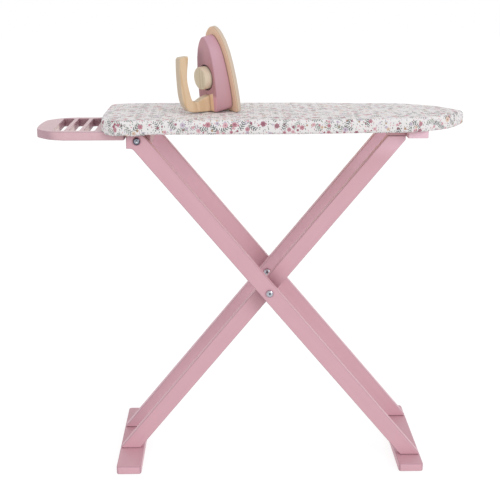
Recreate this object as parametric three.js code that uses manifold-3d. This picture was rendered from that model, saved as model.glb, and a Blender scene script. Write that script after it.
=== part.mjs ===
// Wooden toy ironing board with its toy iron, in millimetres, +Z up.
// The origin is on the floor, under the middle of the overall length, in the middle of the depth.
import * as THREE from "three";
import { mergeVertices } from "three/addons/utils/BufferGeometryUtils.js";
import Module from "manifold-3d";

const wasm = await Module();
wasm.setup();

// Driving sizes: overall
const overall_length = 596;
const deck_underside_height = 499.5;
const fit_gap = 0.3;
const merge_tolerance = 0.001;
const edge_ease = 1.4;

// Cover, pad and deck
const rest_reach = 90.6;
const cover_depth = 163;
const cover_corner_radius = 30;
const end_bow = 3;
const fabric_thickness = 0.8;
const deck_thickness = 12;
const pad_thickness = 4.7;
const crown_rise = 2;
const shoulder_radius = 5;
const hem_width = 9.5;
const hem_drop = 1.2;
const hem_round = 4;
// Half depth along the tapering end, as shares of length and of half depth.
const nose_length_shares = [0.527, 0.62, 0.708, 0.777, 0.836, 0.885, 0.921, 0.949, 0.97, 0.985, 0.995];
const nose_depth_shares = [1, 0.963, 0.926, 0.899, 0.862, 0.742, 0.615, 0.478, 0.305, 0.175, 0.085];
const side_points = 4;
const end_points = 5;
const corner_points = 4;
const nose_points = 19;

// Iron rest
const rest_block_gap = 1.8;
const rest_depth = 122.8;
const rest_thickness = 11.7;
const rest_tip_length_shares = [0, 0.002, 0.009, 0.026, 0.066, 0.12, 0.165, 0.25, 0.34];
const rest_tip_depth_shares = [0, 0.2, 0.4, 0.586, 0.69, 0.8, 0.88, 0.955, 1];
const slot_width = 13.6;
const slot_length = 101;
const slot_pitch = 21;
const slot_corner_radius = 2.5;
const slot_chamfer = 1.1;
const middle_slot_from_tip = 55.1;
const slot_count = 3;

// Cross legs
const leg_width = 23.2;
const leg_thickness = 12;
const outer_frame_depth = 136.8;
const inner_frame_depth = 79.6;
// Hinge and slider along the cover, the outer legs' run from the hinge to the floor, and the pivot's height.
const hinge_length_share = 0.1013;
const slider_length_share = 0.8061;
const outer_run_share = 0.7955;
const pivot_height_share = 0.5529;
const hinge_drop = 11.8;
const rail_clearance = 0.45;
const head_reach = 14.5;
const head_drop = 10.3;
const head_blend = 3.2;
const swing_angle = 24;
const tip_cut = 2;

// Foot planks and top rail
const foot_depth = 192;
const foot_width = 36;
const foot_thickness = 12;
const foot_corner_radius = 4;
const right_foot_reach = 11.5;
const left_foot_reach = 12.2;
const rail_thickness = 10;
const rail_reach = 11.1;
const rail_ease = 2;

// Blocks under the deck
const hinge_block_width = 33;
const hinge_block_height = 22;
const hinge_block_offset = 1.1;
const stop_block_width = 27.8;
const stop_block_depth = 111;
const stop_block_thickness = 11.4;

// Bolts, nuts and spacers
const bolt_head_radius = 5.5;
const bolt_head_height = 2.9;
const bolt_shank_radius = 3;
const bolt_clearance = 0.35;
const socket_across_flats = 4;
const socket_depth = 1.6;
const hinge_bolt_reach = 22;
const nut_barrel_radius = 4;
const nut_wall = 0.7;
const nut_barrel_length = 10.4;
const bolt_tip_gap = 1.5;
const spacer_radius = 8;

// Wood screws
const screw_head_radius = 3.3;
const screw_head_height = 2.2;
const screw_shank_radius = 1.7;
const screw_tip_length = 3;
const screw_rim = 0.3;
const screw_sink = 0.4;
const cross_length = 3.4;
const cross_width = 0.7;
const cross_depth = 1;
const foot_screw_length = 25;
const foot_screw_margin = 4.6;
const foot_screw_spacing = 8.6;
const rail_screw_length = 22;
const rest_screw_length = 20;
const rest_screw_spread = 42;
const block_screw_length = 26;
const block_screw_spread = 20;
const stop_screw_length = 20;
const stop_screw_spread = 40;

// Iron: directions and place on the deck
const iron_turn = 33;
const iron_lean = 10.5;
const iron_length_share = 0.3348;
const iron_y = -5;
const sole_length = 116;
const sole_width = 68;
const sole_thickness = 7;
const sole_ease = 1.2;
const sole_length_shares = [0, 0.012, 0.05, 0.14, 0.27, 0.42, 0.58, 0.72, 0.84, 0.92, 0.965, 0.99, 1];
const sole_width_shares = [0.88, 0.93, 0.97, 0.995, 1, 0.98, 0.92, 0.825, 0.67, 0.475, 0.31, 0.16, 0];
const iron_body_length = 100.8;
const iron_body_width = 50.2;
const iron_body_taper = 1.7;
const iron_body_heel_height = 25.6;
const iron_body_tip_height = 16.4;
const iron_body_ease = 2.4;
const body_width_shares = [0.7, 0.8, 0.92, 0.995, 1, 0.98, 0.92, 0.825, 0.67, 0.475, 0.31, 0.16, 0];
const dial_radius = 15.5;
const dial_height = 12.6;
const dial_rim_round = 2.4;
const dial_from_heel = 51.4;
const dial_gap = 1.5;
const dial_recess = 2.6;
const dial_pin_radius = 3;
const dial_pin_depth = 10;
const dial_pin_engagement = 6;

// Handle of the iron, seen from the side: distance out from the heel line and height above the board.
const handle_width = 12.4;
const handle_height = 77;
const handle_span = 74.9;
const handle_ease = 1.8;
const handle_root = 0.3;
const handle_foot_share = 0.012;
const handle_out_shares = [0.7, 0.77, 0.83, 0.875, 0.913, 0.946, 0.969, 0.981, 0.994, 0.992];
const handle_out_height_shares = [0.014, 0.024, 0.052, 0.098, 0.165, 0.26, 0.39, 0.54, 0.76, 0.95];
const handle_tip_shares = [0.965, 0.815];
const handle_tip_height_shares = [0.985, 1];
const handle_in_shares = [
  0.808, 0.82, 0.834, 0.836, 0.817, 0.79, 0.768, 0.738, 0.7, 0.655, 0.612, 0.57, 0.51, 0.44, 0.37,
];
const handle_in_height_shares = [
  0.97, 0.85, 0.73, 0.6, 0.49, 0.385, 0.305, 0.234, 0.205, 0.197, 0.206, 0.232, 0.262, 0.283, 0.305,
];
const handle_points = 9;
const dowel_radius = 3;
const dowel_length = 18;
const dowel_into_body = 9;
const upper_dowel_height = 17;
const lower_dowel_height = 7;

// Counts of facets round circles
const bolt_facets = 24;
const screw_facets = 16;
const dial_facets = 40;
const round_steps = 3;
const hem_steps = 2;

// Sizes that follow
const radians = Math.PI / 180;
const left_tip_x = -overall_length / 2;
const nose_x = overall_length / 2;
const cover_length = overall_length - rest_reach;
const cover_left_x = nose_x - cover_length;
const cover_half_depth = cover_depth / 2;
const hinge_z = deck_underside_height - hinge_drop;
const head_rise = hinge_drop - fit_gap;
const rail_top = deck_underside_height - rail_clearance;
const slider_z = rail_top - head_rise;
const swing = swing_angle * radians;
const hinge_x = cover_left_x + hinge_length_share * cover_length;
const slider_x = cover_left_x + slider_length_share * cover_length;
const outer_slope = Math.atan2(hinge_z, outer_run_share * cover_length);
const pivot_z = pivot_height_share * hinge_z;
const pivot_x = hinge_x + (hinge_z - pivot_z) / Math.tan(outer_slope);
const inner_slope = Math.atan2(slider_z - pivot_z, slider_x - pivot_x);
const hinge_block_x = hinge_x + hinge_block_offset;
const half_block = hinge_block_width / 2;
const rest_right_x = hinge_block_x - half_block - rest_block_gap;
const rest_length = rest_right_x - left_tip_x;
const iron_x = cover_left_x + iron_length_share * cover_length;
const foot_top = foot_thickness + fit_gap;
const outer_face = outer_frame_depth / 2;
const outer_inside = outer_face - leg_thickness;
const inner_face = inner_frame_depth / 2;
const inner_inside = inner_face - leg_thickness;
const cover_bottom = deck_underside_height - hem_drop;
const deck_top = deck_underside_height + deck_thickness;
const pad_bottom = deck_top + fit_gap;
const pad_shoulder = pad_bottom + pad_thickness;
const cover_shoulder = pad_shoulder + fit_gap + fabric_thickness;
const deck_inset = fabric_thickness + fit_gap;
const lean = iron_lean * radians;
const iron_body_from_heel = iron_body_heel_height * Math.tan(lean) + fit_gap;

const group = new THREE.Group();

const pink_paint = { color: 0xd9a3b0, roughness: 0.55, metalness: 0 };
const plain_wood = { color: 0xdcb48a, roughness: 0.6, metalness: 0 };
const pale_wood = { color: 0xe0cdb0, roughness: 0.65, metalness: 0 };
const steel = { color: 0xb9bcc0, roughness: 0.3, metalness: 0.9 };
const cotton = { color: 0xeae6df, roughness: 0.9, metalness: 0 };
const foam = { color: 0xf2eedd, roughness: 0.95, metalness: 0 };

function add(name, geometry, look) {
  const mesh = new THREE.Mesh(geometry, new THREE.MeshStandardMaterial(look));
  mesh.name = name;
  group.add(mesh);
}

function solidOf(geometry) {
  const bare = geometry.clone();
  bare.deleteAttribute("normal");
  bare.deleteAttribute("uv");
  const merged = mergeVertices(bare, merge_tolerance);
  const index = merged.index.array;
  const kept = [];
  for (let i = 0; i < index.length; i += 3) {
    const [a, b, c] = [index[i], index[i + 1], index[i + 2]];
    if (a !== b && b !== c && c !== a) kept.push(a, b, c);
  }
  return new wasm.Manifold(
    new wasm.Mesh({
      numProp: 3,
      vertProperties: new Float32Array(merged.attributes.position.array),
      triVerts: new Uint32Array(kept),
    }),
  );
}

function geometryOf(solid) {
  const mesh = solid.getMesh();
  const step = mesh.numProp;
  const places = new Float32Array(mesh.numVert * 3);
  for (let i = 0; i < mesh.numVert; i += 1) {
    places.set(mesh.vertProperties.subarray(i * step, i * step + 3), i * 3);
  }
  const geometry = new THREE.BufferGeometry();
  geometry.setAttribute("position", new THREE.BufferAttribute(places, 3));
  geometry.setIndex(new THREE.BufferAttribute(mesh.triVerts, 1));
  geometry.computeVertexNormals();
  return geometry;
}

function cut(geometry, ...tools) {
  let solid = solidOf(geometry);
  for (const tool of tools) solid = solid.subtract(solidOf(tool));
  return geometryOf(solid);
}

function shapeOf(points) {
  return new THREE.Shape(points.map(([x, y]) => new THREE.Vector2(x, y)));
}

// A smooth curve through points, as evenly spaced points.
function smooth(points, count) {
  const curve = new THREE.SplineCurve(points.map(([x, y]) => new THREE.Vector2(x, y)));
  return curve.getSpacedPoints(count).map(({ x, y }) => [x, y]);
}

// A flat-sided prism with eased edges, from z = 0 to z = height.
function prism(points, height, ease) {
  const geometry = new THREE.ExtrudeGeometry(shapeOf(points), {
    depth: height - 2 * ease,
    bevelEnabled: true,
    bevelThickness: ease,
    bevelSize: ease,
    bevelOffset: -ease,
    bevelSegments: 2,
  });
  geometry.translate(0, 0, ease);
  return geometry;
}

// The same prism standing up: the outline's second value is the height, and the middle of the depth is at y.
function standing(points, depth, ease, y) {
  const geometry = prism(points, depth, ease);
  geometry.rotateX(Math.PI / 2);
  geometry.translate(0, y + depth / 2, 0);
  return geometry;
}

function boxBetween(x0, x1, y0, y1, z0, z1) {
  const box = new THREE.BoxGeometry(x1 - x0, y1 - y0, z1 - z0);
  box.translate((x0 + x1) / 2, (y0 + y1) / 2, (z0 + z1) / 2);
  return box;
}

// A rectangle with rounded corners, counter-clockwise.
function roundedRectangle(x0, x1, y0, y1, radius) {
  const points = [];
  const corners = [
    [x1 - radius, y0 + radius, -90],
    [x1 - radius, y1 - radius, 0],
    [x0 + radius, y1 - radius, 90],
    [x0 + radius, y0 + radius, 180],
  ];
  for (const [x, y, start] of corners) {
    for (let i = 0; i <= round_steps; i += 1) {
      const angle = (start + (90 * i) / round_steps) * radians;
      points.push([x + radius * Math.cos(angle), y + radius * Math.sin(angle)]);
    }
  }
  return points;
}

// Round bars and turned pieces stand on z = 0 and point up.
function turned(profile, facets) {
  const geometry = new THREE.LatheGeometry(
    profile.map(([r, z]) => new THREE.Vector2(r, z)),
    facets,
  );
  geometry.rotateX(Math.PI / 2);
  return geometry;
}

function rod(radius, z0, z1, facets) {
  return turned([[0, z0], [radius, z0], [radius, z1], [0, z1]], facets);
}

// Points a piece made along +Z along another axis.
function aimed(geometry, direction) {
  const turn = new THREE.Quaternion().setFromUnitVectors(
    new THREE.Vector3(0, 0, 1),
    new THREE.Vector3(...direction),
  );
  geometry.applyQuaternion(turn);
  return geometry;
}

// Countersunk wood screw: the head's flat top is at z = 0 and the tip points down.
function screwProfile(length, grow) {
  const slope = screw_head_radius - screw_shank_radius;
  return [
    [0, -length - grow],
    [screw_shank_radius + grow, screw_tip_length - length - grow],
    [screw_shank_radius + grow, -screw_rim - slope - grow],
    [screw_head_radius + grow, -screw_rim - grow / 2],
    [screw_head_radius + grow, 0],
    [0, 0],
  ];
}

function screwBody(length) {
  const screw = turned(screwProfile(length, 0), screw_facets);
  const half = cross_length / 2;
  const thin = cross_width / 2;
  const one = boxBetween(-half, half, -thin, thin, -cross_depth, screw_rim);
  const two = boxBetween(-thin, thin, -half, half, -cross_depth, screw_rim);
  return cut(screw, one, two);
}

function screwHole(length) {
  const profile = screwProfile(length, fit_gap);
  profile[profile.length - 2][1] = screw_sink + fit_gap;
  profile[profile.length - 1][1] = screw_sink + fit_gap;
  return turned(profile, screw_facets);
}

// Screws are listed once: place of the head's top, direction of the tip, and length.
function placedScrew(screw, hole) {
  const made = hole ? screwHole(screw.length) : screwBody(screw.length);
  made.translate(0, 0, -screw_sink);
  if (screw.up) made.rotateX(Math.PI);
  made.translate(screw.x, screw.y, screw.z);
  return made;
}

// Crossing point of a leg's edge with a level; the edge lies beside the leg's middle line.
function edgeX(x, z, slopeX, slopeZ, aside, level) {
  const startX = x - slopeZ * aside;
  const startZ = z + slopeX * aside;
  return startX + ((level - startZ) * slopeX) / slopeZ;
}

function edgeZ(x, z, slopeX, slopeZ, aside, place) {
  const startX = x - slopeZ * aside;
  const startZ = z + slopeX * aside;
  return startZ + ((place - startX) * slopeZ) / slopeX;
}

// Outer legs: hinged head at the upper left, foot at the lower right.
const outer_dx = Math.cos(outer_slope);
const outer_dz = -Math.sin(outer_slope);
const half_leg = leg_width / 2;
const outer_low_x = edgeX(pivot_x, pivot_z, outer_dx, outer_dz, -half_leg, foot_top);
const right_foot_x = outer_low_x + right_foot_reach;
const right_foot_edge = right_foot_x + foot_width / 2;
const outer_high_x = edgeX(pivot_x, pivot_z, outer_dx, outer_dz, half_leg, foot_top);
const outer_tip_x = Math.min(right_foot_edge, outer_high_x) - tip_cut;
const head_left_x = hinge_x - head_reach;
const head_bevel_z = hinge_z + (head_rise - head_reach * Math.sin(swing)) / Math.cos(swing);
const head_bottom_z = hinge_z - head_drop;
const head_bottom_x = edgeX(hinge_x, hinge_z, outer_dx, outer_dz, -half_leg, head_bottom_z);

function outerLegOutline() {
  const points = [
    [outer_low_x, foot_top],
    [outer_tip_x, foot_top],
    [outer_tip_x, edgeZ(pivot_x, pivot_z, outer_dx, outer_dz, half_leg, outer_tip_x)],
    [edgeX(hinge_x, hinge_z, outer_dx, outer_dz, half_leg, hinge_z + head_rise), hinge_z + head_rise],
  ];
  for (let i = 0; i <= round_steps; i += 1) {
    const angle = Math.PI / 2 + (swing * i) / round_steps;
    points.push([hinge_x + head_rise * Math.cos(angle), hinge_z + head_rise * Math.sin(angle)]);
  }
  points.push([head_left_x, head_bevel_z], [head_left_x, head_bottom_z]);
  const start = [head_bottom_x - head_blend, head_bottom_z];
  const end = [head_bottom_x + head_blend * outer_dx, head_bottom_z + head_blend * outer_dz];
  for (let i = 0; i <= round_steps; i += 1) {
    const t = i / round_steps;
    const near = (1 - t) * (1 - t);
    const mid = 2 * t * (1 - t);
    const far = t * t;
    points.push([
      near * start[0] + mid * head_bottom_x + far * end[0],
      near * start[1] + mid * head_bottom_z + far * end[1],
    ]);
  }
  return points;
}

// Inner legs: the upper right end carries the top rail, the lower left end stands on the left foot.
const inner_dx = Math.cos(inner_slope);
const inner_dz = Math.sin(inner_slope);
const inner_low_x = edgeX(pivot_x, pivot_z, inner_dx, inner_dz, -half_leg, foot_top);
const left_foot_x = inner_low_x - left_foot_reach;
const left_foot_edge = left_foot_x - foot_width / 2;
const rail_bottom = rail_top - rail_thickness;
const inner_top = rail_bottom - fit_gap;
const rail_right_x = slider_x + rail_reach;
const rail_left_x = edgeX(pivot_x, pivot_z, inner_dx, inner_dz, half_leg, inner_top);
const inner_high_x = edgeX(pivot_x, pivot_z, inner_dx, inner_dz, half_leg, foot_top);
const inner_tip_x = Math.max(left_foot_edge, inner_high_x) + tip_cut;

function innerLegOutline() {
  return [
    [inner_tip_x, foot_top],
    [inner_low_x, foot_top],
    [rail_right_x, edgeZ(pivot_x, pivot_z, inner_dx, inner_dz, -half_leg, rail_right_x)],
    [rail_right_x, inner_top],
    [rail_left_x, inner_top],
    [inner_tip_x, edgeZ(pivot_x, pivot_z, inner_dx, inner_dz, half_leg, inner_tip_x)],
  ];
}

function railOutline() {
  const bevel_z = slider_z + (head_rise - rail_reach * Math.sin(swing)) / Math.cos(swing);
  const points = [
    [rail_left_x, rail_bottom],
    [rail_right_x, rail_bottom],
    [rail_right_x, bevel_z],
  ];
  for (let i = 0; i <= round_steps; i += 1) {
    const angle = Math.PI / 2 - swing + (swing * i) / round_steps;
    points.push([slider_x + head_rise * Math.cos(angle), slider_z + head_rise * Math.sin(angle)]);
  }
  points.push([rail_left_x + rail_ease, rail_top], [rail_left_x, rail_top - rail_ease]);
  return points;
}

// Every screw, by name.
const screws = {};
const leg_middle_outer = outer_face - leg_thickness / 2;
const leg_middle_inner = inner_face - leg_thickness / 2;
for (const [side, sign] of [["front", -1], ["back", 1]]) {
  for (const [which, step] of [["1", 0], ["2", foot_screw_spacing]]) {
    screws[`right_foot_screw_${side}_${which}`] = {
      x: outer_low_x + foot_screw_margin + step,
      y: sign * leg_middle_outer,
      z: 0,
      length: foot_screw_length,
      up: true,
      through: ["right_foot", `outer_leg_${side}`],
    };
    screws[`left_foot_screw_${side}_${which}`] = {
      x: inner_low_x - foot_screw_margin - step,
      y: sign * leg_middle_inner,
      z: 0,
      length: foot_screw_length,
      up: true,
      through: ["left_foot", `inner_leg_${side}`],
    };
  }
  screws[`rail_screw_${side}`] = {
    x: (rail_left_x + slider_x) / 2 + rail_ease,
    y: sign * leg_middle_inner,
    z: rail_top,
    length: rail_screw_length,
    up: false,
    through: ["top_rail", `inner_leg_${side}`],
  };
  screws[`hinge_block_screw_${side}`] = {
    x: hinge_block_x,
    y: sign * block_screw_spread,
    z: deck_top,
    length: block_screw_length,
    up: false,
    through: ["deck_panel", "hinge_block"],
  };
}
const rest_top = deck_underside_height - fit_gap;
const rest_bottom = rest_top - rest_thickness;
const stop_left_x = rail_right_x + fit_gap;
const stop_right_x = stop_left_x + stop_block_width;
const stop_bottom = rest_top - stop_block_thickness;
for (const [side, sign] of [["front", -1], ["back", 1]]) {
  screws[`rest_screw_${side}`] = {
    x: (cover_left_x + rest_right_x) / 2,
    y: sign * rest_screw_spread,
    z: rest_bottom,
    length: rest_screw_length,
    up: true,
    through: ["rest_plank", "deck_panel"],
  };
  screws[`stop_screw_${side}`] = {
    x: (stop_left_x + stop_right_x) / 2,
    y: sign * stop_screw_spread,
    z: stop_bottom,
    length: stop_screw_length,
    up: true,
    through: ["stop_block", "deck_panel"],
  };
}

function holesIn(name) {
  return Object.values(screws)
    .filter((screw) => screw.through.includes(name))
    .map((screw) => placedScrew(screw, true));
}

function boreAlongY(x, z, radius, y0, y1, facets) {
  const bore = rod(radius, 0, y1 - y0, facets);
  aimed(bore, [0, 1, 0]);
  bore.translate(x, y0, z);
  return bore;
}

// Legs
const bolt_bore = bolt_shank_radius + bolt_clearance;
const nut_bore = nut_barrel_radius + fit_gap;
for (const [side, sign] of [["front", -1], ["back", 1]]) {
  const outer_y = sign * leg_middle_outer;
  const inner_y = sign * leg_middle_inner;
  const reach = leg_thickness;
  add(
    `outer_leg_${side}`,
    cut(
      standing(outerLegOutline(), leg_thickness, edge_ease, outer_y),
      boreAlongY(hinge_x, hinge_z, bolt_bore, outer_y - reach, outer_y + reach, bolt_facets),
      boreAlongY(pivot_x, pivot_z, bolt_bore, outer_y - reach, outer_y + reach, bolt_facets),
      ...holesIn(`outer_leg_${side}`),
    ),
    pink_paint,
  );
  add(
    `inner_leg_${side}`,
    cut(
      standing(innerLegOutline(), leg_thickness, edge_ease, inner_y),
      boreAlongY(pivot_x, pivot_z, nut_bore, inner_y - reach, inner_y + reach, bolt_facets),
      ...holesIn(`inner_leg_${side}`),
    ),
    pink_paint,
  );
}

// Feet and rail
const half_foot = foot_width / 2;
for (const [name, x] of [["right_foot", right_foot_x], ["left_foot", left_foot_x]]) {
  const outline = roundedRectangle(
    x - half_foot, x + half_foot, -foot_depth / 2, foot_depth / 2, foot_corner_radius);
  add(name, cut(prism(outline, foot_thickness, edge_ease), ...holesIn(name)), pink_paint);
}
add(
  "top_rail",
  cut(standing(railOutline(), inner_frame_depth, edge_ease / 2, 0), ...holesIn("top_rail")),
  pink_paint,
);

// Blocks under the deck
const hinge_block_depth = 2 * (outer_inside - 2 * fit_gap);
const block_outline = roundedRectangle(
  hinge_block_x - half_block, hinge_block_x + half_block,
  -hinge_block_depth / 2, hinge_block_depth / 2, edge_ease);
const hinge_block = prism(block_outline, hinge_block_height, edge_ease / 2);
hinge_block.translate(0, 0, rest_top - hinge_block_height);
const block_bores = [-1, 1].map((sign) => {
  const inner_end = outer_inside - hinge_bolt_reach - bolt_tip_gap;
  const y0 = sign < 0 ? -outer_face : inner_end;
  const y1 = sign < 0 ? -inner_end : outer_face;
  return boreAlongY(hinge_x, hinge_z, bolt_bore, y0, y1, bolt_facets);
});
add("hinge_block", cut(hinge_block, ...block_bores, ...holesIn("hinge_block")), pink_paint);

const stop_outline = roundedRectangle(
  stop_left_x, stop_right_x, -stop_block_depth / 2, stop_block_depth / 2, edge_ease);
const stop_block = prism(stop_outline, stop_block_thickness, edge_ease / 2);
stop_block.translate(0, 0, stop_bottom);
add("stop_block", cut(stop_block, ...holesIn("stop_block")), pink_paint);

// Iron rest: rounded tip at the left, straight end under the deck, three slots
function restOutline() {
  const half = rest_depth / 2;
  const near = [];
  rest_tip_length_shares.forEach((share, i) => {
    near.push([left_tip_x + share * rest_length, -rest_tip_depth_shares[i] * half]);
  });
  const far = near.slice(1).map(([x, y]) => [x, -y]).reverse();
  const corner = edge_ease;
  return [
    ...near,
    [rest_right_x - corner, -half],
    [rest_right_x, -half + corner],
    [rest_right_x, half - corner],
    [rest_right_x - corner, half],
    ...far,
  ];
}
const rest = prism(restOutline(), rest_thickness, edge_ease);
rest.translate(0, 0, rest_bottom);
// Widens a cut evenly where it meets a face.
function chamferAt(points, level) {
  const geometry = new THREE.ExtrudeGeometry(shapeOf(points), {
    depth: fit_gap,
    bevelEnabled: true,
    bevelThickness: slot_chamfer,
    bevelSize: slot_chamfer,
    bevelSegments: 1,
  });
  geometry.translate(0, 0, level - fit_gap / 2);
  return geometry;
}
const slots = [];
for (let i = 0; i < slot_count; i += 1) {
  const x = left_tip_x + middle_slot_from_tip + (i - (slot_count - 1) / 2) * slot_pitch;
  const outline = roundedRectangle(
    x - slot_width / 2, x + slot_width / 2, -slot_length / 2, slot_length / 2, slot_corner_radius);
  const slot = prism(outline, rest_thickness + 2 * edge_ease, edge_ease / 2);
  slot.translate(0, 0, rest_bottom - edge_ease);
  slots.push(slot, chamferAt(outline, rest_bottom), chamferAt(outline, rest_top));
}
add("rest_plank", cut(rest, ...slots, ...holesIn("rest_plank")), pink_paint);

// Outline of the covered deck, counter-clockwise from the middle of the left end.
function halfOutline() {
  const points = [];
  const straight = cover_half_depth - cover_corner_radius;
  for (let i = 0; i < end_points; i += 1) {
    const share = i / end_points;
    points.push([cover_left_x + end_bow * share * share, -straight * share]);
  }
  const corner_x = cover_left_x + end_bow + cover_corner_radius;
  for (let i = 0; i < corner_points; i += 1) {
    const angle = Math.PI + (Math.PI / 2) * (i / corner_points);
    points.push([
      corner_x + cover_corner_radius * Math.cos(angle),
      -straight + cover_corner_radius * Math.sin(angle),
    ]);
  }
  const side_start = corner_x;
  const side_end = cover_left_x + nose_length_shares[0] * cover_length;
  for (let i = 0; i < side_points; i += 1) {
    points.push([side_start + ((side_end - side_start) * i) / side_points, -cover_half_depth]);
  }
  const taper = nose_length_shares.map((share, i) => [
    cover_left_x + share * cover_length,
    -nose_depth_shares[i] * cover_half_depth,
  ]);
  const across = taper.map(([x, y]) => [x, -y]).reverse();
  const curve = smooth([...taper, [nose_x, 0], ...across], 2 * nose_points);
  points.push(...curve.slice(0, nose_points + 1));
  points[points.length - 1][1] = 0;
  return points;
}

function fullOutline() {
  const half = halfOutline();
  const other = half.slice(1, -1).map(([x, y]) => [x, -y]).reverse();
  return [...half, ...other];
}
const outline = fullOutline();

function inwardNormals(points) {
  return points.map((point, i) => {
    const before = points[(i + points.length - 1) % points.length];
    const after = points[(i + 1) % points.length];
    const dx = after[0] - before[0];
    const dy = after[1] - before[1];
    const size = Math.hypot(dx, dy);
    return [-dy / size, dx / size];
  });
}
const inward = inwardNormals(outline);

function insetOutline(inset) {
  return outline.map(([x, y], i) => [x + inward[i][0] * inset, y + inward[i][1] * inset]);
}

// The middle line on which the crown of the pad closes.
const spine_left = cover_left_x + cover_half_depth;
const spine_right = nose_x - cover_half_depth;
function spinePoint([x]) {
  return [Math.min(Math.max(x, spine_left), spine_right), 0];
}

// One closed sheet of rings: each ring is an inset and a height, the last ones draw in to the middle line.
function ringsOf(levels) {
  return levels.map(({ inset, height, share = 0 }) => {
    const edge = insetOutline(inset);
    return edge.map((point) => {
      const middle = spinePoint(point);
      return [
        point[0] + (middle[0] - point[0]) * share,
        point[1] + (middle[1] - point[1]) * share,
        height,
      ];
    });
  });
}

function skinOf(rings, closed) {
  const places = [];
  const count = rings[0].length;
  const faces = closed ? rings.length : rings.length - 1;
  for (let k = 0; k < faces; k += 1) {
    const low = rings[k];
    const high = rings[(k + 1) % rings.length];
    for (let i = 0; i < count; i += 1) {
      const j = (i + 1) % count;
      places.push(...low[i], ...low[j], ...high[j], ...low[i], ...high[j], ...high[i]);
    }
  }
  const geometry = new THREE.BufferGeometry();
  geometry.setAttribute("position", new THREE.Float32BufferAttribute(places, 3));
  return geometry;
}

// Rounded shoulder from the side wall to the top, seen as inset and height.
function shoulderLevels(inset, radius, top) {
  const levels = [];
  for (let i = 0; i <= round_steps; i += 1) {
    const angle = (Math.PI / 2) * (i / round_steps);
    levels.push({
      inset: inset + radius * (1 - Math.cos(angle)),
      height: top - radius * (1 - Math.sin(angle)),
    });
  }
  return levels;
}

// Rounding from the turned-under edge up to the side wall.
function hemLevels(inset, radius, bottom) {
  const levels = [];
  for (let i = 0; i <= hem_steps; i += 1) {
    const angle = (Math.PI / 2) * (i / hem_steps);
    levels.push({
      inset: inset + radius * (1 - Math.sin(angle)),
      height: bottom + radius * (1 - Math.cos(angle)),
    });
  }
  return levels;
}

function crownLevels(inset, top) {
  return [
    { inset, height: top + crown_rise / 2, share: 1 / 3 },
    { inset, height: top + crown_rise, share: 1 },
  ];
}

// Deck panel: its lower edge is rounded so that the cover draws round it
const deck_round = hem_round - fabric_thickness - fit_gap;
const deck_ease = edge_ease / 2;
const deck_levels = [
  { inset: deck_inset + deck_round, height: deck_underside_height, share: 1 },
  ...hemLevels(deck_inset, deck_round, deck_underside_height),
  { inset: deck_inset, height: deck_top - deck_ease },
  { inset: deck_inset + deck_ease, height: deck_top },
  { inset: deck_inset + deck_ease, height: deck_top, share: 1 },
];
const deck = skinOf(ringsOf(deck_levels), true);
add("deck_panel", cut(deck, ...holesIn("deck_panel")), plain_wood);

// Foam pad: flat underneath, rounded shoulder, slight crown
const pad_inset = deck_inset;
const pad_radius = shoulder_radius - fabric_thickness - fit_gap;
const pad_levels = [
  { inset: pad_inset, height: pad_bottom, share: 1 },
  { inset: pad_inset, height: pad_bottom },
  ...shoulderLevels(pad_inset, pad_radius, pad_shoulder),
  ...crownLevels(pad_inset + pad_radius, pad_shoulder),
];
add("foam_pad", geometryOf(solidOf(skinOf(ringsOf(pad_levels), true))), foam);

// Cover: one sheet over the pad, down the sides and under the edge of the deck
const inner_radius = shoulder_radius - fabric_thickness;
const hem_inset = hem_width;
const cover_levels = [
  { inset: hem_inset, height: cover_bottom },
  ...hemLevels(0, hem_round, cover_bottom),
  ...shoulderLevels(0, shoulder_radius, cover_shoulder),
  ...crownLevels(shoulder_radius, cover_shoulder),
];
const cover_inside = [
  ...crownLevels(shoulder_radius, cover_shoulder - fabric_thickness).reverse(),
  ...shoulderLevels(fabric_thickness, inner_radius, cover_shoulder - fabric_thickness).reverse(),
  ...hemLevels(fabric_thickness, hem_round - fabric_thickness, cover_bottom + fabric_thickness).reverse(),
  { inset: hem_inset, height: cover_bottom + fabric_thickness },
];
const outside_rings = ringsOf(cover_levels);
const inside_rings = ringsOf(cover_inside);
const cover_skin = mergedSkin(
  skinOf(outside_rings, false),
  skinOf(inside_rings, false),
  skinOf([inside_rings[inside_rings.length - 1], outside_rings[0]], false),
);

function mergedSkin(...skins) {
  const places = skins.flatMap((skin) => [...skin.getAttribute("position").array]);
  const geometry = new THREE.BufferGeometry();
  geometry.setAttribute("position", new THREE.Float32BufferAttribute(places, 3));
  return geometry;
}

const rest_notch = boxBetween(
  left_tip_x, rest_right_x + fit_gap,
  -rest_depth / 2 - fit_gap, rest_depth / 2 + fit_gap,
  rest_bottom, deck_underside_height);
const stop_notch = boxBetween(
  stop_left_x - fit_gap, stop_right_x + fit_gap,
  -stop_block_depth / 2 - fit_gap, stop_block_depth / 2 + fit_gap,
  stop_bottom, deck_underside_height);
add("cover", cut(cover_skin, rest_notch, stop_notch), cotton);

// Screws
for (const [name, screw] of Object.entries(screws)) add(name, placedScrew(screw, false), steel);

// Bolts: domed head with a hexagonal socket, shank along +Z from the underside of the head at z = 0
function socket(height) {
  const hexagon = new THREE.CylinderGeometry(
    socket_across_flats / Math.sqrt(3), socket_across_flats / Math.sqrt(3), socket_depth * 2, 6);
  hexagon.rotateX(Math.PI / 2);
  hexagon.translate(0, 0, height);
  return hexagon;
}

function domeProfile() {
  const points = [];
  for (let i = 0; i <= round_steps; i += 1) {
    const angle = (Math.PI / 2) * (i / round_steps);
    points.push([
      bolt_head_radius * Math.sin(angle),
      -bolt_head_height * (1 + 2 * Math.cos(angle)) / 3,
    ]);
  }
  points.push([bolt_head_radius, 0]);
  return points;
}

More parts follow.
